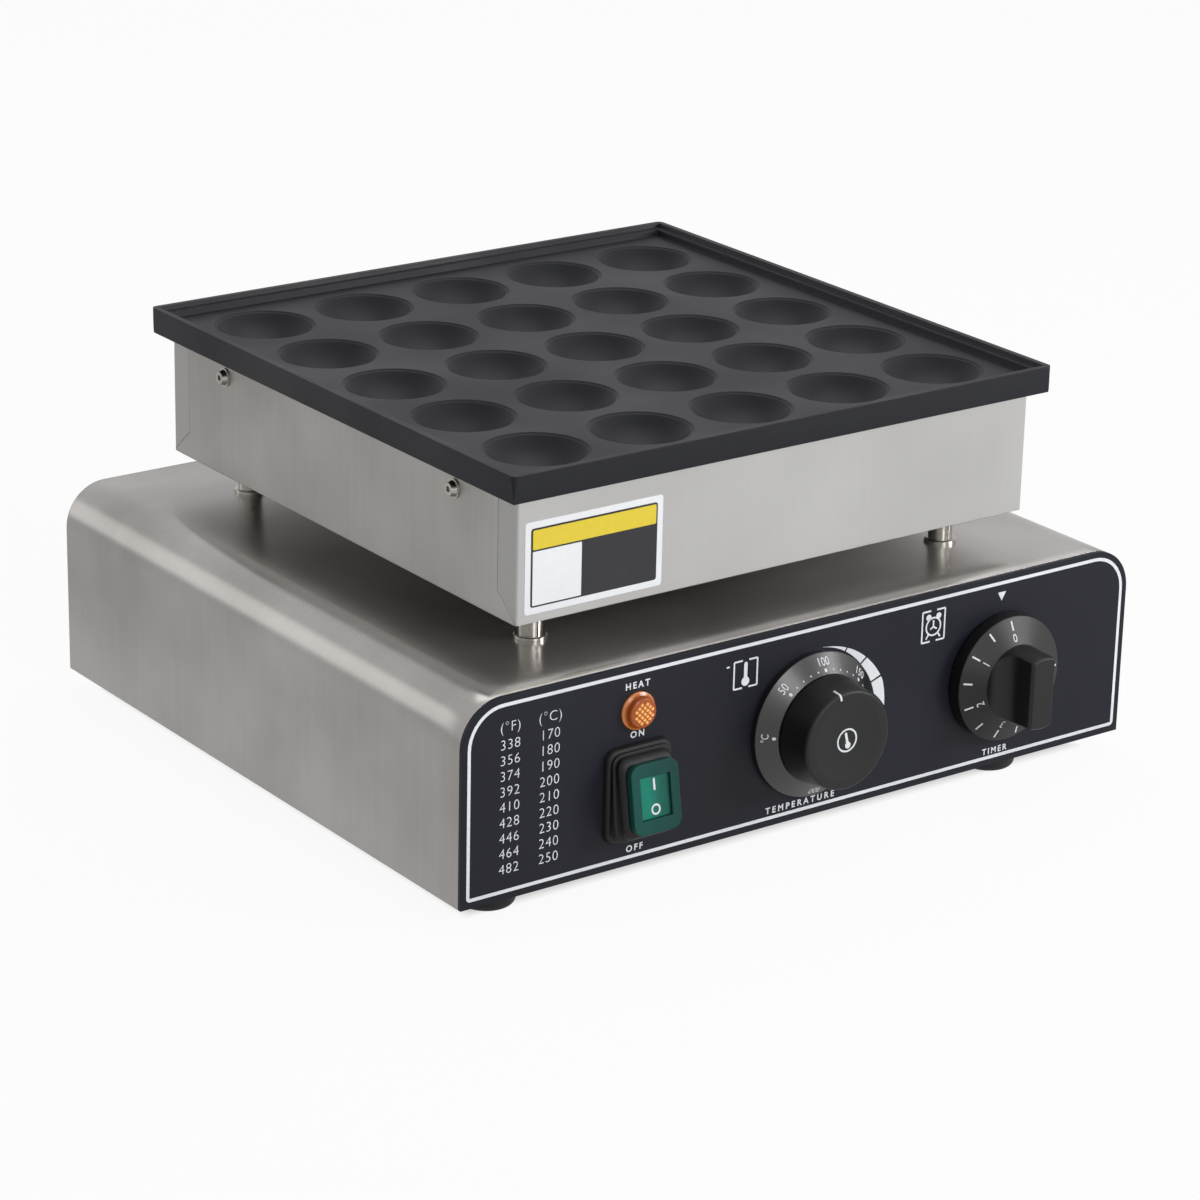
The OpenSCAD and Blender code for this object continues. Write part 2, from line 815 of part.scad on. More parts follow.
// Cast plate: leaning skirt, stepped tray, cups with their round undersides, lugs and bosses
module griddle_plate() {
    color("#35353b")
        difference() {
            union() {
                translate([0, seat_y, 0])
                    plate_blank();
                for (p = cup_places)
                    translate([p.x, p.y, bowl_z])
                        cup_underside();
                for (p = lug_places)
                    translate([p.x * (lug_face_x - lug_d / 2), p.y, (lug_z - lug_w / 2 + under_z) / 2])
                        cube([lug_d, lug_w, under_z - lug_z + lug_w / 2 + over], center = true);
                at_clamp_screws()
                    translate([0, 0, clamp_top_z + clamp_boss_gap])
                        cylinder(h = under_z - clamp_top_z, d = clamp_boss_d);
                translate([clip_screw_x, clip_y, probe_z - probe_d / 2 - thread_gap])
                    cylinder(h = probe_d + over, d = clamp_boss_d);
            }
            for (p = cup_places)
                translate([p.x, p.y, 0])
                    cup_hollow();
            for (p = lug_places)
                translate([p.x * lug_face_x, p.y, lug_z])
                    rotate([0, -90 * p.x, 0])
                        translate([0, 0, -over])
                            cylinder(h = lug_d + 2 * over, d = screw_d + 2 * thread_gap);
            at_clamp_screws()
                translate([0, 0, clamp_top_z - over])
                    cylinder(h = under_z - clamp_top_z + over, d = screw_d + 2 * thread_gap);
            translate([clip_screw_x, clip_y, probe_z - probe_d - over])
                cylinder(h = under_z - probe_z + probe_d + over, d = screw_d + 2 * thread_gap);
        }
}

// Skirt and stepped tray, before the cups are sunk
module plate_blank() {
    room_in = 2 * (skirt_lean + skirt_t);
    ledge_in = 2 * (rim_t + tray_lean);
    step_in = ledge_in + 2 * ledge_w;
    difference() {
        intersection() {
            plate_level(2 * skirt_lean, 0, skirt_z, rim_z);
            translate([0, 0, skirt_z - over])
                linear_extrude(skirt_h + 2 * over)
                    round_2d(plate_w, plate_d, plate_corner_r);
        }
        translate([0, 0, skirt_z - over])
            linear_extrude(under_z - skirt_z + over)
                round_2d(plate_w - room_in, plate_d - room_in, plate_corner_r);
        plate_level(ledge_in, 2 * rim_t, rim_z - ledge_h, rim_z);
        plate_level(step_in + 2 * tray_lean, step_in, floor_z, rim_z - ledge_h);
    }
}

// Block under the plate's outline: smaller by in0 at z0 and by in1 at z1
module plate_level(in0, in1, z0, z1) {
    leaning_block(plate_w - in0, plate_d - in0, plate_w - in1, plate_d - in1, z0, z1);
}

// Rounded underside of a cup with a small flat, below the tray floor
module cup_underside() {
    outer_r = bowl_r + cup_wall;
    low = cup_flat - outer_r;
    rotate_extrude()
        intersection() {
            circle(outer_r);
            translate([0, low])
                square([outer_r, under_z + over - bowl_z - low]);
        }
}

// Bowl of a cup with a small flat, and a broken edge at the tray floor
module cup_hollow() {
    translate([0, 0, bowl_z])
        rotate_extrude()
            intersection() {
                circle(bowl_r);
                translate([0, cup_flat - bowl_r])
                    square([bowl_r, cup_depth + over - cup_flat]);
            }
    translate([0, 0, floor_z - cup_lip])
        cylinder(h = cup_lip + over, d1 = cup_d, d2 = cup_d + 2 * (cup_lip + over));
}

// Socket head screws through the bake box walls into the lugs
module plate_screws() {
    color("lightgray")
        for (p = lug_places)
            translate([p.x * (box_w / 2 + plate_washer_t), p.y, lug_z])
                rotate([0, 90 * p.x, 0])
                    difference() {
                        union() {
                            cylinder(h = screw_head_h, d1 = screw_head_d, d2 = head_taper * screw_head_d);
                            translate([0, 0, -plate_washer_t - box_t - lug_d])
                                cylinder(h = plate_washer_t + box_t + lug_d + over, d = screw_d);
                        }
                        translate([0, 0, screw_head_h / 3])
                            cylinder(h = screw_head_h, d = screw_hex_d, $fn = 6);
                    }
}

module plate_washers() {
    color("silver")
        for (p = lug_places)
            translate([p.x * box_w / 2, p.y, lug_z])
                rotate([0, 90 * p.x, 0])
                    difference() {
                        cylinder(h = plate_washer_t, d = plate_washer_d);
                        translate([0, 0, -over])
                            cylinder(h = plate_washer_t + 2 * over, d = screw_d + 2 * thread_gap);
                    }
}

// Straight run of the element along X
module element_run(x0, x1, y, d) {
    translate([x0, y, 0])
        rotate([0, 90, 0])
            cylinder(h = x1 - x0, d = d);
}

// Half turn of the element about a cup, opening towards the middle
module element_turn(x, y, towards) {
    translate([x, y, 0])
        rotate([0, 0, towards > 0 ? -90 : 90])
            rotate_extrude(angle = 180)
                translate([turn_r, 0])
                    circle(d = element_d);
}

// Tubular heater folded between the rows of cups, with two terminal pins on the left
module heating_element() {
    last = len(run_y) - 1;
    color("dimgray")
        translate([0, seat_y, element_z]) {
            for (i = [0, last])
                element_run(-element_end_x, turn_x, run_y[i], element_d);
            for (i = [1 : last - 1])
                element_run(-turn_x, turn_x, run_y[i], element_d);
            for (i = [0 : last - 1])
                element_turn(
                    i % 2 == 0 ? turn_x : -turn_x, (run_y[i] + run_y[i + 1]) / 2, i % 2 == 0 ? 1 : -1
                );
            for (i = [0, last])
                element_run(-element_end_x - element_pin_l, -element_end_x, run_y[i], element_d / 2);
        }
}

module at_clamp_screws() {
    for (sx = [-1, 1], y = clamp_screw_y)
        translate([sx * clamp_x, seat_y + y, 0])
            children();
}

// Flat bars that press the element against the plate
module clamp_bars() {
    color("darkgray")
        difference() {
            for (sx = [-1, 1])
                translate([sx * clamp_x - clamp_w / 2, seat_y - clamp_l / 2, clamp_top_z - clamp_t])
                    cube([clamp_w, clamp_l, clamp_t]);
            at_clamp_screws()
                translate([0, 0, clamp_top_z - clamp_t - over])
                    cylinder(h = clamp_t + 2 * over, d = screw_d + fit);
        }
}

module clamp_screws() {
    color("lightgray")
        at_clamp_screws()
            translate([0, 0, clamp_top_z - clamp_t])
                pan_screw(screw_d, clamp_screw_l, pan_head_d, pan_head_h);
}

// Probe under the plate's edge, with the capillary down a post to the thermostat
module temperature_probe() {
    probe_end_y = seat_y - probe_l / 2;
    post = [post_x, seat_y - post_y];
    start = dial_back + [0, 0, thermostat_d / 4];
    route = [
        start,
        start + [0, post_in, 0],
        [post.x - post_in, post.y + post_in / 2, base_top - post_in],
        [post.x, post.y, base_top - post_in],
        [post.x, post.y, base_top],
        [post.x, post.y, under_lug_z],
        [clear_x, seat_y - lug_y, under_lug_z],
        [probe_x, seat_y - lug_y + lug_w, under_lug_z],
        [probe_x, probe_end_y - post_in / 2, probe_z],
        [probe_x, probe_end_y, probe_z]
    ];
    color("peru") {
        translate([probe_x, probe_end_y + probe_l, probe_z])
            rotate([90, 0, 0])
                cylinder(h = probe_l, d = probe_d);
        wire(route, capillary_d);
    }
}

// Saddle that holds the probe up against the plate
module probe_clip() {
    wall_r = probe_d / 2 + thread_gap;
    low_z = probe_z - wall_r;
    color("silver")
        translate([0, clip_y - clip_w / 2, 0])
            difference() {
                rotate([90, 0, 0])
                    translate([0, 0, -clip_w])
                        linear_extrude(clip_w) {
                            difference() {
                                translate([probe_x, probe_z])
                                    circle(wall_r + clip_t);
                                translate([probe_x, probe_z])
                                    circle(wall_r);
                                translate([probe_x - probe_d, probe_z])
                                    square([2 * probe_d, probe_d]);
                            }
                            translate([probe_x - wall_r - clip_t - clip_tab, low_z - clip_t])
                                square([clip_tab + wall_r + clip_t, clip_t]);
                        }
                translate([clip_screw_x, clip_w / 2, low_z - clip_t - over])
                    cylinder(h = clip_t + 2 * over, d = screw_d + fit);
            }
}

module probe_screw() {
    low_z = probe_z - probe_d / 2 - thread_gap - clip_t;
    color("lightgray")
        translate([clip_screw_x, clip_y, low_z])
            pan_screw(screw_d, probe_d, pan_head_d, pan_head_h);
}

// Mineral wool slab on the floor of the bake box
module insulation_pad() {
    inset = box_t + fit;
    color("wheat")
        difference() {
            translate([-box_w / 2 + inset, seat_y - box_d / 2 + inset, pad_z])
                cube([box_w - 2 * inset, box_d - 2 * inset, pad_h]);
            post_clearance(pad_z, pad_h);
        }
}

module heat_reflector() {
    inset = box_t + 2 * fit;
    color("silver")
        difference() {
            translate([-box_w / 2 + inset, seat_y - box_d / 2 + inset, reflector_z])
                cube([box_w - 2 * inset, box_d - 2 * inset, reflector_t]);
            post_clearance(reflector_z, reflector_t);
        }
}

module post_clearance(z, h) {
    for (p = post_places)
        translate([p.x, p.y, z - over])
            cylinder(h = h + 2 * over, d = post_hole_d);
}

// Corner points of a lead from one of the element's pins down a left post
function lead_route(side) =
    let (
        pin = [-element_end_x - element_pin_l, seat_y + side * max(run_y), element_z],
        post = [-post_x, seat_y + side * post_y]
    )
    [
        pin,
        pin - [wire_d, 0, 0],
        [pin.x - wire_d, pin.y, under_lug_z],
        [-clear_x, pin.y, under_lug_z],
        [post.x, post.y, under_lug_z],
        [post.x, post.y, reflector_z],
        [post.x, post.y, base_top],
        [post.x, post.y, base_top - post_in]
    ];

// Leads of the element: the front one to the thermostat, the rear one to the terminal block
module heater_leads() {
    color("white") {
        wire(concat(lead_route(-1), [
            [-post_x, dial_back.y + post_in, dial_back.z],
            [dial_back.x - thermostat_d / 4, dial_back.y + post_in, dial_back.z],
            [dial_back.x - thermostat_d / 4, dial_back.y, dial_back.z]
        ]), wire_d);
        wire(concat(lead_route(1), [
            [-post_x, terminal_at.y - post_in, terminal_at.z + post_in],
            [terminal_at.x, terminal_at.y - post_in, terminal_at.z],
            terminal_at
        ]), wire_d);
    }
}

// Snap-in switch body with a cradle for the rocker
module switch_body() {
    pocket = rocker_pivot + cradle_wall;
    flange_w = cradle_w + 2 * cradle_wall;
    flange_h = cradle_h + 2 * cradle_wall;
    color("#202022")
        on_panel(switch_x, switch_z)
            difference() {
                union() {
                    translate([0, 0, (cradle_out - cradle_back) / 2])
                        cube([cradle_w, cradle_h, cradle_out + cradle_back], center = true);
                    translate([0, 0, cradle_flange / 2])
                        cube([flange_w, flange_h, cradle_flange], center = true);
                }
                translate([0, 0, cradle_out - pocket / 2 + over / 2])
                    cube([cradle_w - 2 * cradle_wall, cradle_h + 2 * over, pocket + over], center = true);
                translate([0, 0, rocker_pivot])
                    rotate([0, 90, 0])
                        cylinder(h = cradle_w + 2 * over, d = pivot_d + 2 * run_gap, center = true);
            }
}

// Rubber boot round the switch: flared foot, then folds that step in towards the rocker
module switch_boot() {
    in_w = rocker_w - 2 * rocker_skirt_t + 2 * collar_gap_x;
    in_h = rocker_h - 2 * rocker_skirt_t + 2 * collar_gap_z;
    level_h = boot_h / (fold_count + 1);
    color("#1a1a1c")
        on_panel(switch_x, switch_z)
            difference() {
                for (i = [0 : fold_count]) {
                    spread = boot_wall + boot_flare * (1 - i / fold_count);
                    translate([0, 0, i * level_h])
                        linear_extrude(0.6 * level_h)
                            boot_ring(in_w, in_h, spread);
                    translate([0, 0, i * level_h])
                        linear_extrude(level_h)
                            boot_ring(in_w, in_h, spread - (i < fold_count ? fold_depth : fold_depth / 2));
                }
                translate([0, 0, -over])
                    linear_extrude(boot_h + 2 * over)
                        round_2d(in_w, in_h, boot_wall);
            }
}

// Outline of the boot at some distance round its opening
module boot_ring(w, h, spread) {
    round_2d(w + 2 * spread, h + 2 * spread, boot_wall + spread);
}

// Turns a shape with the rocker about its pivot, to the switched-on position
module rocked() {
    on_panel(switch_x, switch_z)
        translate([0, 0, rocker_pivot])
            rotate([-rocker_lean, 0, 0])
                translate([0, 0, -rocker_pivot])
                    children();
}

// Lit rocker with its pivot pins
module rocker() {
    neck_w = cradle_w - 2 * cradle_wall - 2 * fit;
    neck_h = window_h + 2 * rocker_skirt_t;
    face = rocker_out - rocker_sunk;
    back = rocker_out - rocker_t;
    color("#1f9a72")
        rocked()
            union() {
                translate([0, 0, face - rocker_t / 2])
                    cube([window_w - fit, window_h - fit, rocker_t], center = true);
                translate([0, 0, (rocker_back + back) / 2])
                    cube([neck_w, neck_h, back - rocker_back], center = true);
                translate([0, 0, rocker_pivot])
                    rotate([0, 90, 0])
                        cylinder(h = cradle_w, d = pivot_d, center = true);
                translate([0, 0, rocker_pivot])
                    rotate([0, 90, 0])
                        cylinder(h = neck_w, d = 2 * pivot_d, center = true);
            }
}

// Translucent frame round the lit rocker, with a skirt that dips into the boot
module rocker_frame() {
    back = rocker_out - rocker_t;
    skirt_w = rocker_w - 2 * rocker_skirt_t;
    skirt_l = rocker_h - 2 * rocker_skirt_t;
    color("#2f6b58")
        rocked()
            difference() {
                union() {
                    translate([0, 0, back])
                        linear_extrude(rocker_t)
                            round_2d(rocker_w, rocker_h, rocker_r);
                    translate([0, 0, rocker_back])
                        linear_extrude(back - rocker_back)
                            round_2d(skirt_w, skirt_l, rocker_r - rocker_skirt_t);
                }
                cube([window_w, window_h, 3 * rocker_out], center = true);
                translate([0, 0, rocker_back - over])
                    linear_extrude(back - rocker_back + over)
                        round_2d(
                            skirt_w - 2 * rocker_skirt_t, skirt_l - 2 * rocker_skirt_t, rocker_skirt_t
                        );
            }
}

// Amber lens: flared flange, barrel and low dome
module lamp_lens() {
    dome = lens_d / 16;
    color("#c8701c")
        on_panel(switch_x, lamp_z)
            union() {
                rotate_extrude()
                    polygon([
                        [0, 0], [lamp_d / 2, 0], [lamp_d / 2, lamp_flange_h / 2],
                        [lens_d / 2, lamp_flange_h], [lens_d / 2 - fit, lens_out - dome],
                        [lens_d / 2 - dome, lens_out - dome / 2], [0, lens_out]
                    ]);
                translate([0, 0, -panel_t - lens_d / 2])
                    cylinder(h = panel_t + lens_d / 2, d = lamp_stem_d);
            }
}

module lamp_holder() {
    color("#e8e4d8")
        on_panel(switch_x, lamp_z)
            translate([0, 0, -panel_t - lamp_holder_l])
                difference() {
                    cylinder(h = lamp_holder_l, d = lamp_holder_d);
                    translate([0, 0, lamp_holder_l - lens_d / 2])
                        cylinder(h = lamp_holder_l, d = lamp_stem_d + 2 * thread_gap);
                }
}

// Fixed ring with a sloping face for the temperature scale
module dial_ring() {
    inner_r = bush_d;
    face_r = knob_d / 2 + knob_gap;
    color("#2e2f33")
        on_panel(dial_x, dial_z)
            rotate_extrude()
                polygon([
                    [inner_r, 0], [dial_d / 2, 0], [dial_d / 2, dial_edge_h],
                    [face_r, dial_h], [inner_r, dial_h]
                ]);
}

// Control body behind the panel: bracket, can and the bush that the shaft turns in
module control_bush(depth) {
    difference() {
        children();
        translate([0, 0, -depth])
            cylinder(h = depth + bush_out + over, d = shaft_d + 2 * run_gap);
    }
}

module thermostat_body() {
    color("silver")
        on_panel(dial_x, dial_z)
            control_bush(shaft_in + run_gap)
                union() {
                    translate([0, 0, -panel_t - bracket_t / 2])
                        cube([thermostat_bracket_w, thermostat_d, bracket_t], center = true);
                    translate([0, 0, -control_back - thermostat_l])
                        cylinder(h = thermostat_l, d = thermostat_d);
                    translate([0, 0, -panel_t])
                        cylinder(h = panel_t + bush_out, d = bush_d);
                }
}

// Shaft with a flat at its front end
module control_shaft(front) {
    difference() {
        translate([0, 0, -shaft_in])
            cylinder(h = shaft_in + front, d = shaft_d);
        translate([-shaft_d, shaft_d / 2 - flat_depth, front - socket_l])
            cube([2 * shaft_d, shaft_d, socket_l + over]);
    }
}

module thermostat_shaft() {
    color("gainsboro")
        on_panel(dial_x, dial_z)
            control_shaft(knob_out - 2 * knob_wall - knob_dish);
}

// Socket in a knob that fits the flatted shaft
module shaft_socket(front) {
    intersection() {
        cylinder(h = front, d = shaft_d + 2 * run_gap);
        translate([-shaft_d, -shaft_d, 0])
            cube([2 * shaft_d, 1.5 * shaft_d - flat_depth + run_gap, front]);
    }
    cylinder(h = front - socket_l, d = shaft_d + 2 * run_gap);
}

// Hollow tapered knob with a dished face
module temperature_knob() {
    foot = dial_h + knob_gap;
    face_r = knob_face_d / 2;
    lean = (knob_d / 2 - face_r) / (knob_out - foot);
    socket_end = knob_out - 2 * knob_wall - knob_dish;
    dish_r = (pow(knob_dish_r, 2) + pow(knob_dish, 2)) / (2 * knob_dish);
    color("#2c2d30")
        on_panel(dial_x, dial_z)
            difference() {
                rotate_extrude() {
                    polygon([
                        [0, foot], [knob_d / 2, foot],
                        [face_r + lean * knob_edge_r, knob_out - knob_edge_r], [0, knob_out - knob_edge_r]
                    ]);
                    translate([0, knob_out - 2 * knob_edge_r])
                        square([face_r - knob_edge_r, 2 * knob_edge_r]);
                    translate([face_r - knob_edge_r, knob_out - knob_edge_r])
                        circle(knob_edge_r);
                }
                translate([0, 0, knob_out - knob_dish + dish_r])
                    sphere(dish_r);
                rotate_extrude()
                    polygon([
                        [knob_hub_d / 2, foot - over], [knob_d / 2 - knob_wall, foot - over],
                        [face_r - knob_wall, knob_out - 2 * knob_wall - knob_dish],
                        [knob_hub_d / 2, knob_out - 2 * knob_wall - knob_dish]
                    ]);
                shaft_socket(socket_end + run_gap);
            }
}

module timer_body() {
    color("#d8d4c8")
        on_panel(timer_x, dial_z)
            control_bush(shaft_in + run_gap)
                union() {
                    translate([0, 0, -panel_t - bracket_t / 2])
                        cube([timer_case, timer_bracket_h, bracket_t], center = true);
                    translate([0, 0, -control_back - timer_case_l / 2])
                        cube([timer_case, timer_case, timer_case_l], center = true);
                    translate([0, 0, -panel_t])
                        cylinder(h = panel_t + bush_out, d = bush_d);
                }
}

module timer_shaft() {
    color("gainsboro")
        on_panel(timer_x, dial_z)
            control_shaft(timer_out - 2 * knob_wall);
}

// Knob with a sloping numbered skirt and a scooped bar grip
module timer_knob() {
    hub_r = timer_hub_d / 2;
    broken = 2 * sqrt(2) * grip_edge;
    end_edge = grip_edge / 2;
    socket_end = timer_out - 2 * knob_wall;
    scoop_z = timer_hub_h + grip_scoop_r;
    color("#2c2d30")
        on_panel(timer_x, dial_z)
            difference() {
                union() {
                    rotate_extrude()
                        polygon([
                            [0, timer_gap], [timer_d / 2, timer_gap], [timer_d / 2, timer_edge_h],
                            [hub_r, timer_hub_h], [0, timer_hub_h]
                        ]);
                    difference() {
                        rotate_extrude()
                            polygon([
                                [0, timer_hub_h - over], [hub_r, timer_hub_h - over],
                                [grip_h / 2, timer_out - end_edge], [grip_h / 2 - end_edge, timer_out],
                                [0, timer_out]
                            ]);
                        for (side = [-1, 1]) {
                            translate([side * (grip_w / 2 + grip_h), 0, scoop_z + timer_out])
                                cube([2 * grip_h, 2 * grip_h, 2 * timer_out], center = true);
                            translate([side * (grip_w / 2 + grip_scoop_r), 0, scoop_z])
                                rotate([90, 0, 0])
                                    cylinder(h = 2 * grip_h, r = grip_scoop_r, center = true);
                            translate([side * (grip_w + grip_edge) / 2, 0, timer_out + grip_edge / 2])
                                rotate([0, 45, 0])
                                    cube([broken, 2 * grip_h, broken], center = true);
                        }
                    }
                }
                rotate_extrude()
                    polygon([
                        [bush_d, timer_gap - over], [timer_d / 2 - knob_wall, timer_gap - over],
                        [timer_d / 2 - knob_wall, timer_edge_h - knob_wall],
                        [bush_d, timer_hub_h - knob_wall]
                    ]);
                cylinder(h = bush_out + timer_gap, d = bush_d + 2 * fit);
                shaft_socket(socket_end + run_gap);
            }
}

// Terminal block on the bottom plate, with a clamp screw well over each pole
module terminal_block() {
    color("ivory")
        translate([terminal_at.x - pole_w / 2, terminal_at.y, floor_top_z])
            difference() {
                cube([pole_count * pole_w, terminal_d, terminal_h]);
                for (i = [0 : pole_count - 1])
                    translate([(i + 0.5) * pole_w, terminal_d / 2, terminal_h - well_depth])
                        cylinder(h = terminal_h, d = pole_w / 2);
            }
}

// Earth stud with its base washer
module earth_stud() {
    color("goldenrod")
        translate([gland_x, terminal_y, floor_top_z])
            union() {
                cylinder(h = bracket_t, d = 2 * nut_d);
                cylinder(h = earth_stud_l, d = screw_d);
                translate([0, 0, bracket_t])
                    cylinder(h = nut_h, d = nut_d, $fn = 6);
            }
}

// Plastic gland for the supply lead: thread, flange hexagon and tapered cap
module cable_gland() {
    color("#232325")
        on_rear(gland_x, gland_z)
            difference() {
                union() {
                    translate([0, 0, -gland_thread_l])
                        cylinder(h = gland_thread_l, d = gland_thread_d);
                    cylinder(h = gland_nut_h, d = gland_hex_d, $fn = 6);
                    translate([0, 0, gland_nut_h])
                        cylinder(h = gland_out - gland_nut_h, d1 = gland_cap_d, d2 = gland_mouth_d);
                }
                translate([0, 0, -gland_thread_l - over])
                    cylinder(h = gland_thread_l + gland_out + 2 * over, d = gland_bore_d);
            }
}

module gland_nut() {
    color("#232325")
        on_rear(gland_x, gland_z)
            translate([0, 0, -rear_t - gland_nut_h])
                nut(gland_hex_d, gland_nut_h, gland_thread_d + 2 * thread_gap);
}

// Wires between the terminal block, switch, timer, thermostat and lamp
module panel_wiring() {
    out = [0, timer_case / 3, 0];
    side = [thermostat_d / 4, 0, 0];
    drop = [0, 0, thermostat_d / 4];
    live = terminal_at + [pole_w, 0, 0];
    color("firebrick") {
        wire([
            timer_back, timer_back + out, dial_back + side + out - drop, dial_back + side - drop
        ], wire_d);
        wire([
            timer_back - drop, timer_back - drop + out,
            [0, timer_back.y + 2 * out.y, base_z + switch_z / 2],
            switch_back - drop + out, switch_back - drop
        ], wire_d);
        wire([live, live - 3 * out, switch_back + 4 * out, switch_back + out, switch_back], wire_d);
        wire([lamp_back, lamp_back + out, switch_back + drop + out, switch_back + drop], wire_d);
    }
}

base_shell();
front_panel();
rear_panel();
bottom_plate();
bottom_screws();
rubber_feet();
foot_screws();
foot_nuts();
post_tubes();
post_washers();
post_rods();
post_nuts();
bake_box_tray();
bake_box_front();
bake_box_rear();
griddle_plate();
plate_screws();
plate_washers();
heating_element();
clamp_bars();
clamp_screws();
temperature_probe();
probe_clip();
probe_screw();
insulation_pad();
heat_reflector();
heater_leads();
switch_body();
switch_boot();
rocker();
rocker_frame();
lamp_lens();
lamp_holder();
dial_ring();
thermostat_body();
thermostat_shaft();
temperature_knob();
timer_body();
timer_shaft();
timer_knob();
terminal_block();
earth_stud();
cable_gland();
gland_nut();
panel_wiring();
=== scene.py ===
import json
import math

import bmesh
import bpy
from mathutils import Matrix, Vector


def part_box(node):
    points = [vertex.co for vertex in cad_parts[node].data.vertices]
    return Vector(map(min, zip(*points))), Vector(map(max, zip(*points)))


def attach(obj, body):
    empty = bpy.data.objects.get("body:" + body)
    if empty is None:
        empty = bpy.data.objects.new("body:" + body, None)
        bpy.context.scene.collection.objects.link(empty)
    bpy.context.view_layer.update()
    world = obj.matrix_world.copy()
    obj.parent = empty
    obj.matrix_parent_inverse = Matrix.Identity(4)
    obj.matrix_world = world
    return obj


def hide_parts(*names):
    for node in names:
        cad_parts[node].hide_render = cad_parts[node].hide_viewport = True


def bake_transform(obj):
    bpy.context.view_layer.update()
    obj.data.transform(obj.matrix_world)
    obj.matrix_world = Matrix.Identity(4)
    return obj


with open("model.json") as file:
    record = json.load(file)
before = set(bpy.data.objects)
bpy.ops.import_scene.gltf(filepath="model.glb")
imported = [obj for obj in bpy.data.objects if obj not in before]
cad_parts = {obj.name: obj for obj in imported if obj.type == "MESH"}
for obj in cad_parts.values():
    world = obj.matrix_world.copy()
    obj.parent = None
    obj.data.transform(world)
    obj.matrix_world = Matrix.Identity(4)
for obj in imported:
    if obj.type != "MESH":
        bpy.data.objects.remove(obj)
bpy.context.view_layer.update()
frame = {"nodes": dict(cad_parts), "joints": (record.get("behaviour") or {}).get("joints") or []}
mm = 0.001
nodes = frame["nodes"]
pivots = {joint["name"]: Vector(joint["pos_m"]) for joint in frame["joints"]}
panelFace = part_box("front_panel")[0].y
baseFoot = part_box("base_shell")[0].z
print("frame loaded with", len(nodes), "nodes")


def linearColour(code):
    # sRGB hex to the linear colour that a socket takes
    parts = [int(code[i:i + 2], 16) / 255 for i in (1, 3, 5)]
    return [p / 12.92 if p <= 0.04045 else ((p + 0.055) / 1.055) ** 2.4 for p in parts] + [1.0]


def addNode(tree, kind, inputs=None, links=None, **settings):
    node = tree.nodes.new(kind)
    for key, value in settings.items():
        setattr(node, key, value)
    for key, value in (inputs or {}).items():
        node.inputs[key].default_value = value
    for key, source in (links or {}).items():
        tree.links.new(source, node.inputs[key])
    return node


def startMaterial(name, metallic=0.0):
    material = bpy.data.materials.new(name)
    material.use_nodes = True
    tree = material.node_tree
    shader = tree.nodes["Principled BSDF"]
    shader.inputs["Metallic"].default_value = metallic
    place = addNode(tree, "ShaderNodeTexCoord").outputs["Object"]
    return material, tree, shader, place


# Satin sheet, brushed at the mill: it blurs mirror images along one way and scatters a part of the light.
# Real brush lines are too fine to show, so they are drawn as faint streaks 2 mm wide, with slow cloudy marks
satinSheet = {"grainWidth": 2.0, "grainLength": 120, "cloud": 90, "cloudShare": 0.88, "marks": (0.35, 0.65),
              "rough": (0.31, 0.36), "blur": 0.72, "edge": 0.6, "metal": 0.85, "level": 0.72,
              "levelFrom": 0.5, "offAxis": 0.1, "paintedSideShade": (0.3, 0.9), "tip": 0.6, "dip": 2.6}


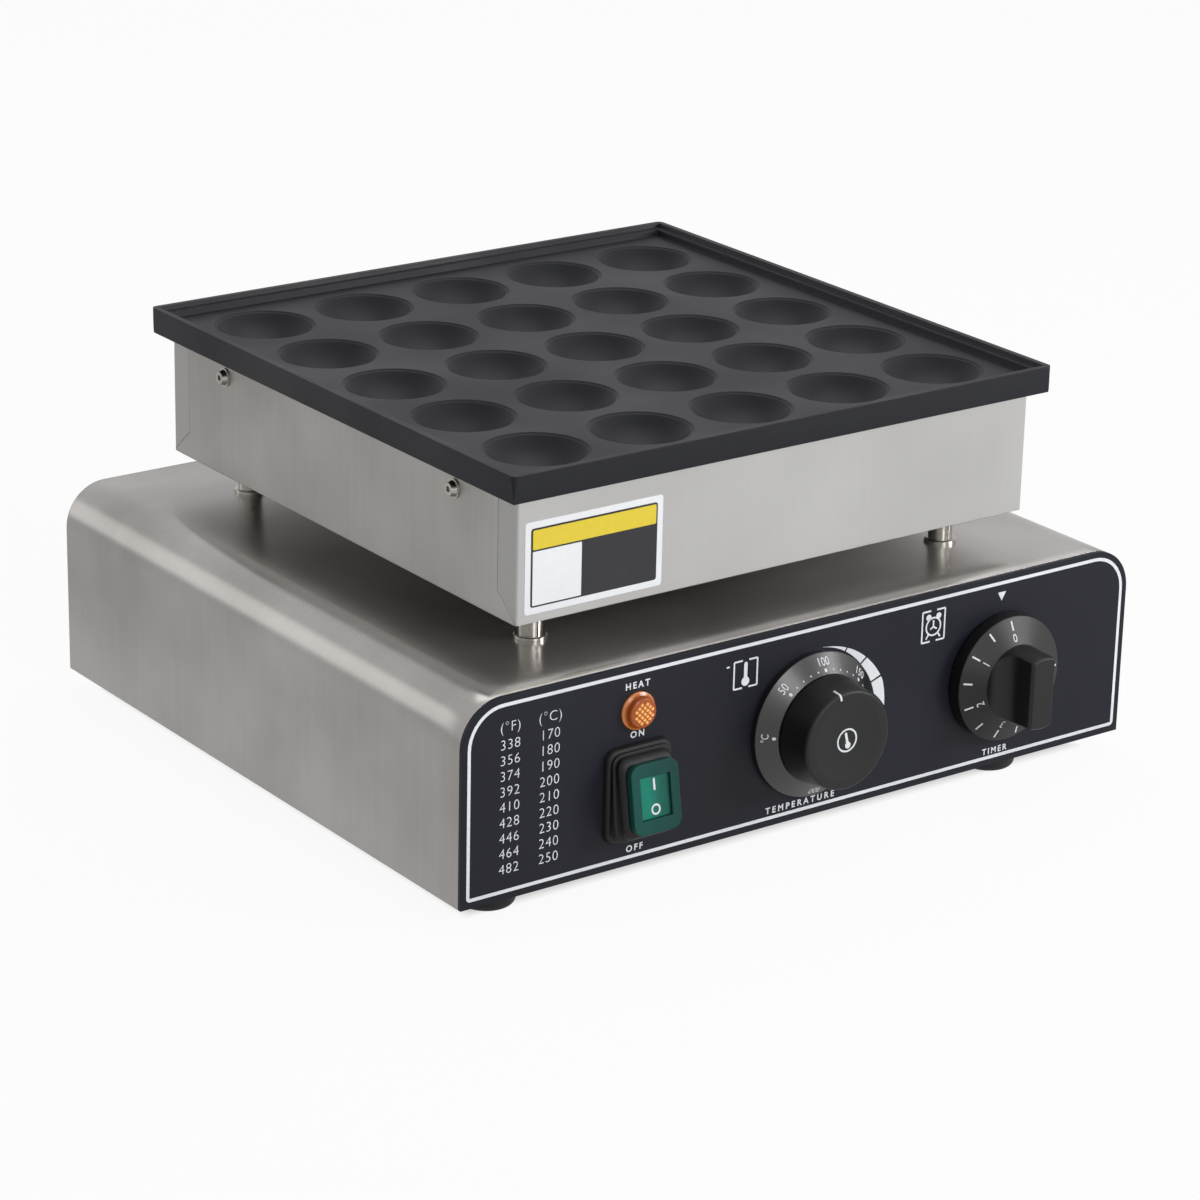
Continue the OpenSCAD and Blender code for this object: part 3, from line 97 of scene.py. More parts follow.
def satinStainless(name, across, colour, shade, lean=satinSheet["offAxis"], paintedSideShade=1.0, roll=0.0):
    material, tree, shader, place = startMaterial(name, satinSheet["metal"])
    scale = [1 / (satinSheet["grainLength"] * mm)] * 3
    scale["XYZ".index(across)] = 1 / (satinSheet["grainWidth"] * mm)
    stretched = addNode(tree, "ShaderNodeMapping", {"Scale": scale}, {"Vector": place})
    grain = addNode(tree, "ShaderNodeTexNoise", {"Scale": 1, "Detail": 2},
                    {"Vector": stretched.outputs["Vector"]})
    cloud = addNode(tree, "ShaderNodeTexNoise", {"Scale": 1 / (satinSheet["cloud"] * mm), "Detail": 3},
                    {"Vector": place})
    marks = addNode(tree, "ShaderNodeMix", {0: satinSheet["cloudShare"]},
                    {2: grain.outputs["Fac"], 3: cloud.outputs["Fac"]})
    low, high = satinSheet["marks"]
    spread = addNode(tree, "ShaderNodeMapRange", {"From Min": low, "From Max": high},
                     {"Value": marks.outputs[0]})
    tint = addNode(tree, "ShaderNodeMix", {6: linearColour(shade), 7: linearColour(colour)},
                   {0: spread.outputs["Result"]}, data_type="RGBA")
    low, high = satinSheet["rough"]
    rough = addNode(tree, "ShaderNodeMapRange", {"To Min": low, "To Max": high},
                    {"Value": spread.outputs["Result"]})
    soft = addNode(tree, "ShaderNodeBevel", {"Radius": satinSheet["edge"] * mm}, samples=6).outputs["Normal"]
    face = addNode(tree, "ShaderNodeSeparateXYZ",
                   links={"Vector": addNode(tree, "ShaderNodeNewGeometry").outputs["Normal"]})
    # a little off the axis, so that it lies along no face's own normal
    way = addNode(tree, "ShaderNodeCombineXYZ", {"X": lean, "Y": lean, "Z": satinSheet["offAxis"]})
    way.inputs[across].default_value = 1.0
    # level faces are rubbed a little smoother
    level = addNode(tree, "ShaderNodeMapRange",
                    {"From Min": satinSheet["levelFrom"], "To Min": 1.0, "To Max": satinSheet["level"]},
                    {"Value": face.outputs["Z"]})
    rough = addNode(tree, "ShaderNodeMath", links={0: rough.outputs["Result"], 1: level.outputs["Result"]},
                    operation="MULTIPLY")
    if roll:
        # shading only: the sheet seems to dip, more and more, towards its front edge
        depth = addNode(tree, "ShaderNodeSeparateXYZ", links={"Vector": place}).outputs["Y"]
        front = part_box("base_shell")[0].y
        near = addNode(tree, "ShaderNodeMapRange",
                       {"From Min": front, "From Max": front + roll * mm, "To Min": 1, "To Max": 0},
                       {"Value": depth})
        near = addNode(tree, "ShaderNodeMath", {1: satinSheet["dip"]}, {0: near.outputs["Result"]},
                       operation="POWER")
        dip = addNode(tree, "ShaderNodeVectorMath", {0: (0, -satinSheet["tip"], 0)},
                      {"Scale": near.outputs["Value"]}, operation="SCALE")
        soft = addNode(tree, "ShaderNodeVectorMath", links={0: soft, 1: dip.outputs["Vector"]},
                       operation="ADD")
        soft = addNode(tree, "ShaderNodeVectorMath", links={0: soft.outputs["Vector"]},
                       operation="NORMALIZE").outputs["Vector"]
    # painted shade: faces that look to the sides, the front and rear sheets' folded flaps among them, are
    # darkened to the sides' shaded tone
    turned = addNode(tree, "ShaderNodeMath", links={0: face.outputs["X"]}, operation="ABSOLUTE")
    low, high = satinSheet["paintedSideShade"]
    sideShade = addNode(tree, "ShaderNodeMapRange",
                     {"From Min": low, "From Max": high, "To Min": 1.0, "To Max": paintedSideShade},
                     {"Value": turned.outputs["Value"]})
    tone = addNode(tree, "ShaderNodeVectorMath", operation="SCALE",
                   links={0: tint.outputs[2], "Scale": sideShade.outputs["Result"]})
    shader.inputs["Anisotropic"].default_value = satinSheet["blur"]
    tree.links.new(way.outputs["Vector"], shader.inputs["Tangent"])
    tree.links.new(tone.outputs["Vector"], shader.inputs["Base Color"])
    tree.links.new(rough.outputs["Value"], shader.inputs["Roughness"])
    tree.links.new(soft, shader.inputs["Normal"])
    return material


# Plain finishes: a grain of a real size in mm, slow patches and softened edges.
# Grain that is too fine to show, as on plastic or powder coat, is drawn coarser
plainFinish = {"spread": (0.12, 0.40), "slow": (0.3, 0.7), "bump": 0.5}


def gritty(name, dark, light, grit, rough, depth, metallic=0.0, edge=0.4, patch=40, **sockets):
    material, tree, shader, place = startMaterial(name, metallic)
    grain = addNode(tree, "ShaderNodeTexNoise", {"Scale": 1 / (grit * mm), "Detail": 4, "Roughness": 0.65},
                    {"Vector": place})
    slow = addNode(tree, "ShaderNodeTexNoise", {"Scale": 1 / (patch * mm), "Detail": 3}, {"Vector": place})
    both = addNode(tree, "ShaderNodeMath", links={0: grain.outputs["Fac"], 1: slow.outputs["Fac"]},
                   operation="MULTIPLY")
    low, high = plainFinish["spread"]
    spread = addNode(tree, "ShaderNodeMapRange", {"From Min": low, "From Max": high},
                     {"Value": both.outputs["Value"]})
    tint = addNode(tree, "ShaderNodeMix", {6: linearColour(dark), 7: linearColour(light)},
                   {0: spread.outputs["Result"]}, data_type="RGBA")
    low, high = plainFinish["slow"]
    dull = addNode(tree, "ShaderNodeMapRange",
                   {"From Min": low, "From Max": high, "To Min": rough[0], "To Max": rough[1]},
                   {"Value": slow.outputs["Fac"]})
    soft = addNode(tree, "ShaderNodeBevel", {"Radius": edge * mm}, samples=4)
    bump = addNode(tree, "ShaderNodeBump", {"Strength": plainFinish["bump"], "Distance": depth * mm},
                   {"Height": grain.outputs["Fac"], "Normal": soft.outputs["Normal"]})
    tree.links.new(tint.outputs[2], shader.inputs["Base Color"])
    tree.links.new(dull.outputs["Result"], shader.inputs["Roughness"])
    tree.links.new(bump.outputs["Normal"], shader.inputs["Normal"])
    for socket, value in sockets.items():
        shader.inputs[socket.replace("_", " ")].default_value = value
    return material


# Non-stick coat sprayed on the casting: a matt film with fine flecks, darker down in the cups
nonStickCoat = {"floor": "#1d1e25", "cup": "#16171c", "speck": 0.9, "fleck": (0.86, 1.14), "cloud": 60,
                "rough": (0.40, 0.54), "cupDepth": 12, "rimHigh": 5, "edge": 0.8, "bump": 0.4, "grain": 0.05,
                "sheen": 0.25}


def nonStick():
    material, tree, shader, place = startMaterial("nonStickCoat")
    speck = addNode(tree, "ShaderNodeTexNoise", {"Scale": 1 / (nonStickCoat["speck"] * mm), "Detail": 5},
                    {"Vector": place})
    cloud = addNode(tree, "ShaderNodeTexNoise", {"Scale": 1 / (nonStickCoat["cloud"] * mm), "Detail": 2},
                    {"Vector": place})
    height = addNode(tree, "ShaderNodeSeparateXYZ", links={"Vector": place}).outputs["Z"]
    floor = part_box("griddle_plate")[1].z - nonStickCoat["rimHigh"] * mm
    bottom = floor - nonStickCoat["cupDepth"] * mm
    sunk = addNode(tree, "ShaderNodeMapRange",
                   {"From Min": bottom, "From Max": floor, "To Min": 1, "To Max": 0}, {"Value": height})
    tint = addNode(tree, "ShaderNodeMix",
                   {6: linearColour(nonStickCoat["floor"]), 7: linearColour(nonStickCoat["cup"])},
                   {0: sunk.outputs["Result"]}, data_type="RGBA")
    low, high = nonStickCoat["fleck"]
    fleck = addNode(tree, "ShaderNodeMapRange",
                    {"From Min": 0.25, "From Max": 0.75, "To Min": low, "To Max": high},
                    {"Value": speck.outputs["Fac"]})
    flecked = addNode(tree, "ShaderNodeVectorMath", links={0: tint.outputs[2], 1: fleck.outputs["Result"]},
                      operation="MULTIPLY")
    low, high = nonStickCoat["rough"]
    dull = addNode(tree, "ShaderNodeMapRange",
                   {"From Min": 0.3, "From Max": 0.7, "To Min": low, "To Max": high},
                   {"Value": cloud.outputs["Fac"]})
    soft = addNode(tree, "ShaderNodeBevel", {"Radius": nonStickCoat["edge"] * mm}, samples=4)
    bump = addNode(tree, "ShaderNodeBump",
                   {"Strength": nonStickCoat["bump"], "Distance": nonStickCoat["grain"] * mm},
                   {"Height": speck.outputs["Fac"], "Normal": soft.outputs["Normal"]})
    tree.links.new(flecked.outputs["Vector"], shader.inputs["Base Color"])
    tree.links.new(dull.outputs["Result"], shader.inputs["Roughness"])
    tree.links.new(bump.outputs["Normal"], shader.inputs["Normal"])
    shader.inputs["Specular IOR Level"].default_value = nonStickCoat["sheen"]
    return material


# Tinted polycarbonate, moulded: light goes a little way in. Painted light: one side is painted brighter,
# with a faint painted glow, and the other side is left in a painted shaded tone
clearMoulding = {"haze": 4, "veil": 0.35, "roughSpan": 0.12, "edge": 0.8, "sheen": 0.2, "cloudy": 0.25,
                 "lightDepth": 1.5}


def tintedPlastic(name, shadedTone, litTone, glow, rough, centre, reach):
    material, tree, shader, place = startMaterial(name)
    # painted light: the side at lower x is painted lit, fading to the shaded tone towards higher x
    side = addNode(tree, "ShaderNodeSeparateXYZ", links={"Vector": place}).outputs["X"]
    left, right = centre.x - reach * mm, centre.x + reach * mm
    lit = addNode(tree, "ShaderNodeMapRange",
                  {"From Min": left, "From Max": right, "To Min": 1, "To Max": 0}, {"Value": side},
                  interpolation_type="SMOOTHSTEP")
    haze = addNode(tree, "ShaderNodeTexNoise", {"Scale": 1 / (clearMoulding["haze"] * mm), "Detail": 3},
                   {"Vector": place})
    veil = addNode(tree, "ShaderNodeMath", {1: clearMoulding["veil"]}, {0: haze.outputs["Fac"]},
                   operation="MULTIPLY")
    lit = addNode(tree, "ShaderNodeMath", links={0: lit.outputs["Result"], 1: veil.outputs["Value"]},
                  operation="ADD", use_clamp=True)
    tint = addNode(tree, "ShaderNodeMix", {6: linearColour(shadedTone), 7: linearColour(litTone)},
                   {0: lit.outputs["Value"]}, data_type="RGBA")
    # painted glow, strongest on the painted lit side
    power = addNode(tree, "ShaderNodeMath", {1: glow}, {0: lit.outputs["Value"]}, operation="MULTIPLY")
    dull = addNode(tree, "ShaderNodeMapRange",
                   {"To Min": rough, "To Max": rough + clearMoulding["roughSpan"]},
                   {"Value": haze.outputs["Fac"]})
    soft = addNode(tree, "ShaderNodeBevel", {"Radius": clearMoulding["edge"] * mm}, samples=4)
    tree.links.new(tint.outputs[2], shader.inputs["Base Color"])
    tree.links.new(tint.outputs[2], shader.inputs["Emission Color"])
    tree.links.new(power.outputs["Value"], shader.inputs["Emission Strength"])
    tree.links.new(dull.outputs["Result"], shader.inputs["Roughness"])
    tree.links.new(soft.outputs["Normal"], shader.inputs["Normal"])
    shader.inputs["Specular IOR Level"].default_value = clearMoulding["sheen"]
    shader.inputs["Subsurface Weight"].default_value = clearMoulding["cloudy"]
    shader.inputs["Subsurface Radius"].default_value = (1.0, 1.0, 1.0)
    shader.inputs["Subsurface Scale"].default_value = clearMoulding["lightDepth"] * mm
    return material


# Amber acrylic lens, moulded, with pressed points. Painted light: a bright rim, a dark barrel in painted
# shade, painted highlights on the points and a faint painted glow
amberLens = {"rim": "#e08a44", "barrel": "#92440e", "front": "#9a4814", "point": "#f9b264", "reach": 6.0,
             "stops": ((0.10, "rim"), (0.24, "barrel"), (0.62, "barrel"), (0.90, "front")), "haze": 1.5,
             "rough": (0.20, 0.30), "edge": 0.4, "glow": 0.22, "coat": 0.1}


def lampLens():
    material, tree, shader, place = startMaterial("amberLens")
    out = addNode(tree, "ShaderNodeSeparateXYZ", links={"Vector": place}).outputs["Y"]
    # painted light and shade: colour bands run out from the panel, from the painted bright rim through the
    # shaded barrel to the front
    share = addNode(tree, "ShaderNodeMapRange",
                    {"From Min": panelFace, "From Max": panelFace - amberLens["reach"] * mm}, {"Value": out})
    body = addNode(tree, "ShaderNodeValToRGB", links={"Fac": share.outputs["Result"]})
    bands = body.color_ramp.elements
    while len(bands) < len(amberLens["stops"]):
        bands.new(0.5)
    for band, (at, key) in zip(bands, amberLens["stops"]):
        band.position = at
        band.color = linearColour(amberLens[key])
    haze = addNode(tree, "ShaderNodeTexNoise", {"Scale": 1 / (amberLens["haze"] * mm), "Detail": 2},
                   {"Vector": place})
    # painted highlight: the points' tips take the bright point colour
    point = addNode(tree, "ShaderNodeAttribute", attribute_name="point").outputs["Fac"]
    lit = addNode(tree, "ShaderNodeMix", {7: linearColour(amberLens["point"])},
                  {0: point, 6: body.outputs["Color"]}, data_type="RGBA")
    low, high = amberLens["rough"]
    dull = addNode(tree, "ShaderNodeMapRange", {"To Min": low, "To Max": high},
                   {"Value": haze.outputs["Fac"]})
    soft = addNode(tree, "ShaderNodeBevel", {"Radius": amberLens["edge"] * mm}, samples=4)
    tree.links.new(lit.outputs[2], shader.inputs["Base Color"])
    tree.links.new(dull.outputs["Result"], shader.inputs["Roughness"])
    tree.links.new(soft.outputs["Normal"], shader.inputs["Normal"])
    tree.links.new(lit.outputs[2], shader.inputs["Emission Color"])
    # painted glow over the whole lens
    shader.inputs["Emission Strength"].default_value = amberLens["glow"]
    shader.inputs["Coat Weight"].default_value = amberLens["coat"]
    return material


def middle(node):
    low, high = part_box(node)
    return (low + high) / 2


# Stainless sheet: streaks run up the sides and across the top. The front and rear sheets are painted paler
# than the rest, as painted light, and their flaps on the sides are darkened back to the sides' tone
steelAlongDepth = satinStainless("satinStainlessDepth", "Y", "#bebbb8", "#a6a29f")
steelRolled = satinStainless("satinStainlessRolled", "Y", "#bebbb8", "#a6a29f", roll=20)
# painted light: a paler copy of the same stainless, with painted shade on its side flaps
steelAcross = satinStainless("satinStainlessAcross", "X", "#d4d3d1", "#cac9c7", lean=0.6, paintedSideShade=0.71)
# Nickel-plated steel: bright, with soft mirror images
plated = gritty("platedSteel", "#aeaaa4", "#cfccc6", 0.8, (0.22, 0.30), 0.004, metallic=1.0, edge=0.3)
# Zinc-coated sheet: grey and dull, with a faint spangle
zincSheet = gritty("zincSheet", "#8b8d8f", "#aeb0b1", 6, (0.36, 0.48), 0.01, metallic=1.0)
# Powder coat on steel: even, blue-black and nearly matt
powderBlack = gritty("powderBlack", "#171820", "#1d1e28", 0.7, (0.42, 0.50), 0.02, patch=90,
                     Specular_IOR_Level=0.22)
# Moulded nylon and phenolic: a fine spark texture on knobs, a smoother ring that catches the light
mouldedBlack = gritty("mouldedBlack", "#141518", "#1c1d20", 0.5, (0.36, 0.44), 0.02, edge=0.5)
knobBlack = gritty("knobBlack", "#0b0c0d", "#111213", 0.5, (0.38, 0.46), 0.02, edge=0.9,
                   Specular_IOR_Level=0.42)
dialBlack = gritty("dialBlack", "#101113", "#17181b", 0.5, (0.26, 0.32), 0.02, edge=0.5,
                   Specular_IOR_Level=0.9)
# Moulded rubber: deep black with hardly a highlight
rubberBlack = gritty("rubberBlack", "#09090a", "#101011", 0.9, (0.50, 0.64), 0.05, edge=0.6,
                     Specular_IOR_Level=0.4)
# Moulded urea: ivory and a little waxy
ivoryMoulding = gritty("ivoryMoulding", "#cfc8b2", "#e4dfcd", 0.6, (0.40, 0.50), 0.02)
# Heater tube: steel browned by heat
heaterSheath = gritty("heaterSheath", "#3c3632", "#5d5650", 1.2, (0.38, 0.55), 0.02, metallic=1.0)
# Drawn copper and turned brass: warm and fairly bright
drawnCopper = gritty("drawnCopper", "#a8623a", "#d08a58", 1.0, (0.25, 0.38), 0.01, metallic=1.0)
turnedBrass = gritty("turnedBrass", "#a98840", "#d4b566", 0.6, (0.24, 0.34), 0.01, metallic=1.0)
# Mineral wool: loose, yellow-brown and quite matt
mineralWool = gritty("mineralWool", "#a8925e", "#d6c391", 1.5, (0.85, 0.95), 0.6, edge=1.0)
# Aluminium foil: bright, with shallow dents
brightFoil = gritty("brightFoil", "#b9babb", "#dcdcdc", 3, (0.16, 0.28), 0.02, metallic=1.0)
# Silicone and PVC sleeves: smooth and soft in their shine
siliconeSleeve = gritty("siliconeSleeve", "#c9c7bf", "#e6e5df", 0.8, (0.45, 0.55), 0.03)
redSleeve = gritty("redSleeve", "#7e1f1a", "#9d2f28", 0.8, (0.40, 0.50), 0.03)
# Screen ink: a flat cold white
screenInk = gritty("screenInk", "#d6d8de", "#eceef2", 0.6, (0.45, 0.55), 0.01, edge=0.02)
lensAmber = lampLens()
# frame and rocker each take a painted shaded green and a painted lit green
frameGreen = tintedPlastic("frameGreen", "#0c3d38", "#124a44", 0.05, 0.42, middle("rocker_frame"), 16)
rockerGreen = tintedPlastic("rockerGreen", "#1a5249", "#177c69", 0.08, 0.30, middle("rocker"), 6)
nonStickBlack = nonStick()
print("materials made:", len(bpy.data.materials))

finishes = {
    "base_shell": steelRolled, "rear_panel": steelAcross, "post_tubes": plated,
    "bake_box_tray": steelAlongDepth, "bake_box_front": steelAcross, "bake_box_rear": steelAcross,
    "front_panel": powderBlack, "bottom_plate": zincSheet, "rubber_feet": rubberBlack,
    "griddle_plate": nonStickBlack, "heating_element": heaterSheath, "clamp_bars": zincSheet,
    "temperature_probe": drawnCopper, "probe_clip": zincSheet, "insulation_pad": mineralWool,
    "heat_reflector": brightFoil, "heater_leads": siliconeSleeve, "switch_body": mouldedBlack,
    "switch_boot": rubberBlack, "rocker": rockerGreen, "rocker_frame": frameGreen,
    "lamp_lens": lensAmber, "lamp_holder": ivoryMoulding, "dial_ring": dialBlack,
    "thermostat_body": zincSheet, "temperature_knob": knobBlack, "timer_body": ivoryMoulding,
    "timer_knob": knobBlack, "terminal_block": ivoryMoulding, "earth_stud": turnedBrass,
    "cable_gland": mouldedBlack, "gland_nut": mouldedBlack, "panel_wiring": redSleeve,
}
for name, node in nodes.items():
    node.data.materials.clear()
    node.data.materials.append(finishes.get(name, plated))
print("finishes laid on the frame")


# Builds on the panel lie in a flat frame: x right, y up, z out of the panel
def onPanel(x, y):
    return Matrix.Translation((x, panelFace, y)) @ Matrix.Rotation(math.pi / 2, 4, "X")


def finishPiece(name, bm, material, body, place=None):
    bmesh.ops.recalc_face_normals(bm, faces=bm.faces[:])
    if place:
        bmesh.ops.transform(bm, matrix=place, verts=bm.verts[:])
    mesh = bpy.data.meshes.new(name)
    bm.to_mesh(mesh)
    bm.free()
    piece = bpy.data.objects.new(name, mesh)
    bpy.context.scene.collection.objects.link(piece)
    mesh.materials.append(material)
    if body:
        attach(piece, body)
    return piece


def flatPlate(bm, width, height):
    return bmesh.ops.create_grid(bm, x_segments=1, y_segments=1, size=0.5,
                                 matrix=Matrix.Diagonal((width * mm, height * mm, 1, 1)))["verts"]


def roundCorners(bm, corners, radius, segments):
    bmesh.ops.bevel(bm, geom=corners, offset=radius * mm, segments=segments, profile=0.5, affect="VERTICES",
                    material=-1)


def thicken(bm, thick):
    grown = bmesh.ops.extrude_face_region(bm, geom=bm.faces[:])["geom"]
    raised = [part for part in grown if isinstance(part, bmesh.types.BMVert)]
    bmesh.ops.translate(bm, verts=raised, vec=(0, 0, thick * mm))


def growEdge(bm, edge):
    # the far edge of a new face along the edge
    grown = bmesh.ops.extrude_edge_only(bm, edges=[edge])["geom"]
    return next(part for part in grown if isinstance(part, bmesh.types.BMEdge))


inkLift = 0.12  # thickness of a print, in mm
hair = {"step": 0.004, "levels": 6}


def hairUp(bm):
    # each mark a hair above the last, so that marks that cross share no face
    return hair["step"] * (len(bm.verts) // 8 % hair["levels"])


def turnedWay(turn):
    # one unit away from a dial's centre, the turn counted from the top against the clock
    return Vector((-math.sin(math.radians(turn)), math.cos(math.radians(turn))))


def addText(bm, words, size, x, y, turn=0.0, bold=0.0, spacing=1.0):
    # built-in lettering, made a mesh before it is put in place
    curve = bpy.data.curves.new("lettering", "FONT")
    curve.body = words
    curve.size = size * mm
    curve.align_x = "CENTER"
    curve.align_y = "CENTER"
    curve.space_character = spacing
    curve.offset = bold * mm
    curve.extrude = inkLift / 2 * mm
    curve.resolution_u = 4
    letters = bpy.data.objects.new("lettering", curve)
    bpy.context.scene.collection.objects.link(letters)
    bpy.context.view_layer.update()
    mesh = bpy.data.meshes.new_from_object(letters.evaluated_get(bpy.context.evaluated_depsgraph_get()))
    mesh.transform(Matrix.Translation((x * mm, y * mm, inkLift / 2 * mm))
                   @ Matrix.Rotation(math.radians(turn), 4, "Z"))
    bm.from_mesh(mesh)
    bpy.data.objects.remove(letters)
    bpy.data.curves.remove(curve)
    bpy.data.meshes.remove(mesh)


def addBar(bm, width, height, x, y, turn=0.0):
    # flat printed bar
    place = (Matrix.Translation((x * mm, y * mm, (inkLift / 2 + hairUp(bm)) * mm))
             @ Matrix.Rotation(math.radians(turn), 4, "Z")
             @ Matrix.Diagonal((width * mm, height * mm, inkLift * mm, 1)))
    bmesh.ops.create_cube(bm, size=1, matrix=place)


def addDot(bm, radius, x, y, sides=16):
    place = Matrix.Translation((x * mm, y * mm, (inkLift / 2 + hairUp(bm)) * mm))
    bmesh.ops.create_cone(bm, cap_ends=True, segments=sides, radius1=radius * mm, radius2=radius * mm,
                          depth=inkLift * mm, matrix=place)


def addRing(bm, radius, width, x, y, sides=40):
    # a narrow upright strip turned round the centre
    edge = bmesh.ops.create_grid(bm, x_segments=1, y_segments=1, size=0.5,
                                 matrix=Matrix.Translation(((x + radius) * mm, y * mm, inkLift / 2 * mm))
                                 @ Matrix.Rotation(math.pi / 2, 4, "X")
                                 @ Matrix.Diagonal((width * mm, inkLift * mm, 1, 1)))
    faces = list({face for vert in edge["verts"] for face in vert.link_faces})
    bmesh.ops.spin(bm, geom=edge["verts"] + faces, cent=(x * mm, y * mm, 0), axis=(0, 0, 1),
                   angle=2 * math.pi, steps=sides, use_merge=True)
    bmesh.ops.delete(bm, geom=[f for f in faces if f.is_valid], context="FACES_ONLY")


# White border line round the panel
borderLine = {"side": 2.8, "bottom": 3.2, "top": 2.8, "width": 1.6, "topCorner": 18.2, "bottomCorner": 2.0,
              "segments": 10}


def panelBorder():
    low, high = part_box("front_panel")
    width = (high.x - low.x) / mm - 2 * borderLine["side"]
    height = (high.z - low.z) / mm - borderLine["bottom"] - borderLine["top"]
    bm = bmesh.new()
    plate = flatPlate(bm, width, height)
    top = [v for v in plate if v.co.y > 0]
    bottom = [v for v in plate if v.co.y < 0]
    for corners, radius in ((top, borderLine["topCorner"]), (bottom, borderLine["bottomCorner"])):
        roundCorners(bm, corners, radius, borderLine["segments"])
    face = max(bm.faces, key=lambda f: f.calc_area())
    bmesh.ops.inset_region(bm, faces=[face], thickness=borderLine["width"] * mm, use_boundary=True,
                           use_even_offset=True)
    bmesh.ops.delete(bm, geom=[face], context="FACES")
    thicken(bm, inkLift)
    centre = baseFoot + (borderLine["bottom"] + height / 2) * mm
    return finishPiece("panelBorder", bm, screenInk, "casing", onPanel(0, centre))


# Table of degrees: Fahrenheit on the left, Celsius on the right
degreeTable = {"columns": (-163.0, -142.5), "headZ": 79.0, "firstZ": 71.0, "pitch": 7.12, "rows": 9,
               "firstCelsius": 170, "step": 10, "size": 6.6, "bold": -0.10, "spacing": 1.1}


def panelTable():
    bm = bmesh.new()
    lines = [("(°F)", "(°C)", degreeTable["headZ"])]
    for row in range(degreeTable["rows"]):
        celsius = degreeTable["firstCelsius"] + degreeTable["step"] * row
        fahrenheit = round(celsius * 9 / 5 + 32)
        lines.append((str(fahrenheit), str(celsius), degreeTable["firstZ"] - degreeTable["pitch"] * row))
    for *pair, z in lines:
        for words, x in zip(pair, degreeTable["columns"]):
            addText(bm, words, degreeTable["size"], x, z, bold=degreeTable["bold"],
                    spacing=degreeTable["spacing"])
    return finishPiece("degreeTable", bm, screenInk, "casing", onPanel(0, baseFoot))


# Words beside the controls: (words, x, z, letter spacing)
captions = {"size": 4.2, "bold": 0.10,
            "words": [("HEAT", -97.0, 83.6, 1.4), ("ON", -96.5, 60.9, 1.4), ("OFF", -96.6, 7.7, 1.4),
                      ("TEMPERATURE", -4.6, 7.4, 1.55), ("TIMER", 110.4, 7.0, 1.4)]}


def panelCaptions():
    bm = bmesh.new()
    for words, x, z, spacing in captions["words"]:
        addText(bm, words, captions["size"], x, z, bold=captions["bold"], spacing=spacing)
    return finishPiece("panelCaptions", bm, screenInk, "casing", onPanel(0, baseFoot))


# Signs in corner brackets, each (left, right, low, high), and the mark over the timer: (x, z, reach)
signs = {"heat": (-44.7, -31.9, 70.0, 82.7), "clock": (62.4, 75.6, 69.5, 84.2), "line": 0.8, "gap": 3.6,
         "mark": (109.5, 83.6, 2.77), "fill": 0.86, "dash": (1.6, 0.7), "dashOff": (3.4, 1.5)}
# Parts of the thermometer as shares of its height
thermometer = {"bulbAt": 0.32, "tipAt": 0.42, "bulb": 0.20, "stem": 0.17, "tip": 0.085}
# Parts of the clock from its centre; a hand is (length, x, z, turn)
alarmClock = {"drop": 0.4, "face": 4.2, "bell": 1.5, "bellAt": (2.9, 4.7), "leg": 2.2, "legAt": (3.5, -4.6),
              "legTurn": 35, "hands": [(3.2, 0, 1.4, 0), (2.6, 0.9, -0.7, 60), (2.2, -0.8, -0.6, -60)]}


def addBrackets(bm, left, right, low, high):
    line = signs["line"]
    arm = (right - left - signs["gap"]) / 2
    for x, side in ((left, 1), (right, -1)):
        addBar(bm, line, high - low, x, (low + high) / 2)
        for z in (low, high):
            addBar(bm, arm, line, x + side * arm / 2, z)


def addThermometer(bm, x, z, tall):
    # bulb, stem and a round end
    bulb = Vector((x, z - tall * thermometer["bulbAt"]))
    tip = Vector((x, z + tall * thermometer["tipAt"]))
    addDot(bm, tall * thermometer["bulb"], bulb.x, bulb.y)
    addBar(bm, tall * thermometer["stem"], (tip - bulb).length, x, (bulb.y + tip.y) / 2)
    addDot(bm, tall * thermometer["tip"], tip.x, tip.y)


def panelSigns():
    bm = bmesh.new()
    line = signs["line"]
    left, right, low, high = signs["heat"]
    addBrackets(bm, left, right, low, high)
    addThermometer(bm, (left + right) / 2, (low + high) / 2, (high - low) * signs["fill"])
    addBar(bm, *signs["dash"], left - signs["dashOff"][0], high - signs["dashOff"][1])
    left, right, low, high = signs["clock"]
    addBrackets(bm, left, right, low, high)
    x, z = (left + right) / 2, (low + high) / 2 - alarmClock["drop"]
    addRing(bm, alarmClock["face"], line, x, z)
    (bellX, bellZ), (legX, legZ) = alarmClock["bellAt"], alarmClock["legAt"]
    for side in (-1, 1):
        addDot(bm, alarmClock["bell"], x + side * bellX, z + bellZ)
        addBar(bm, line, alarmClock["leg"], x + side * legX, z + legZ, side * alarmClock["legTurn"])
    for length, handX, handZ, turn in alarmClock["hands"]:
        addBar(bm, line, length, x + handX, z + handZ, turn)
    x, z, reach = signs["mark"]
    place = Matrix.Translation((x * mm, z * mm, inkLift / 2 * mm)) @ Matrix.Rotation(math.pi, 4, "Z")
    bmesh.ops.create_cone(bm, cap_ends=True, segments=3, radius1=reach * mm, radius2=reach * mm,
                          depth=inkLift * mm, matrix=place)
    return finishPiece("panelSigns", bm, screenInk, "casing", onPanel(0, baseFoot))


# Heat crescent on the panel round the dial: grows from nothing and ends in a point
crescent = {"inner": 35.0, "widest": 7.0, "growth": 1.28, "bend": 1.3, "start": 8.0, "end": 91.0,
            "gaps": (30.0, 50.0, 69.5), "gap": 1.4, "step": 3.0, "point": 13.0, "least": 0.15, "tip": 0.98}


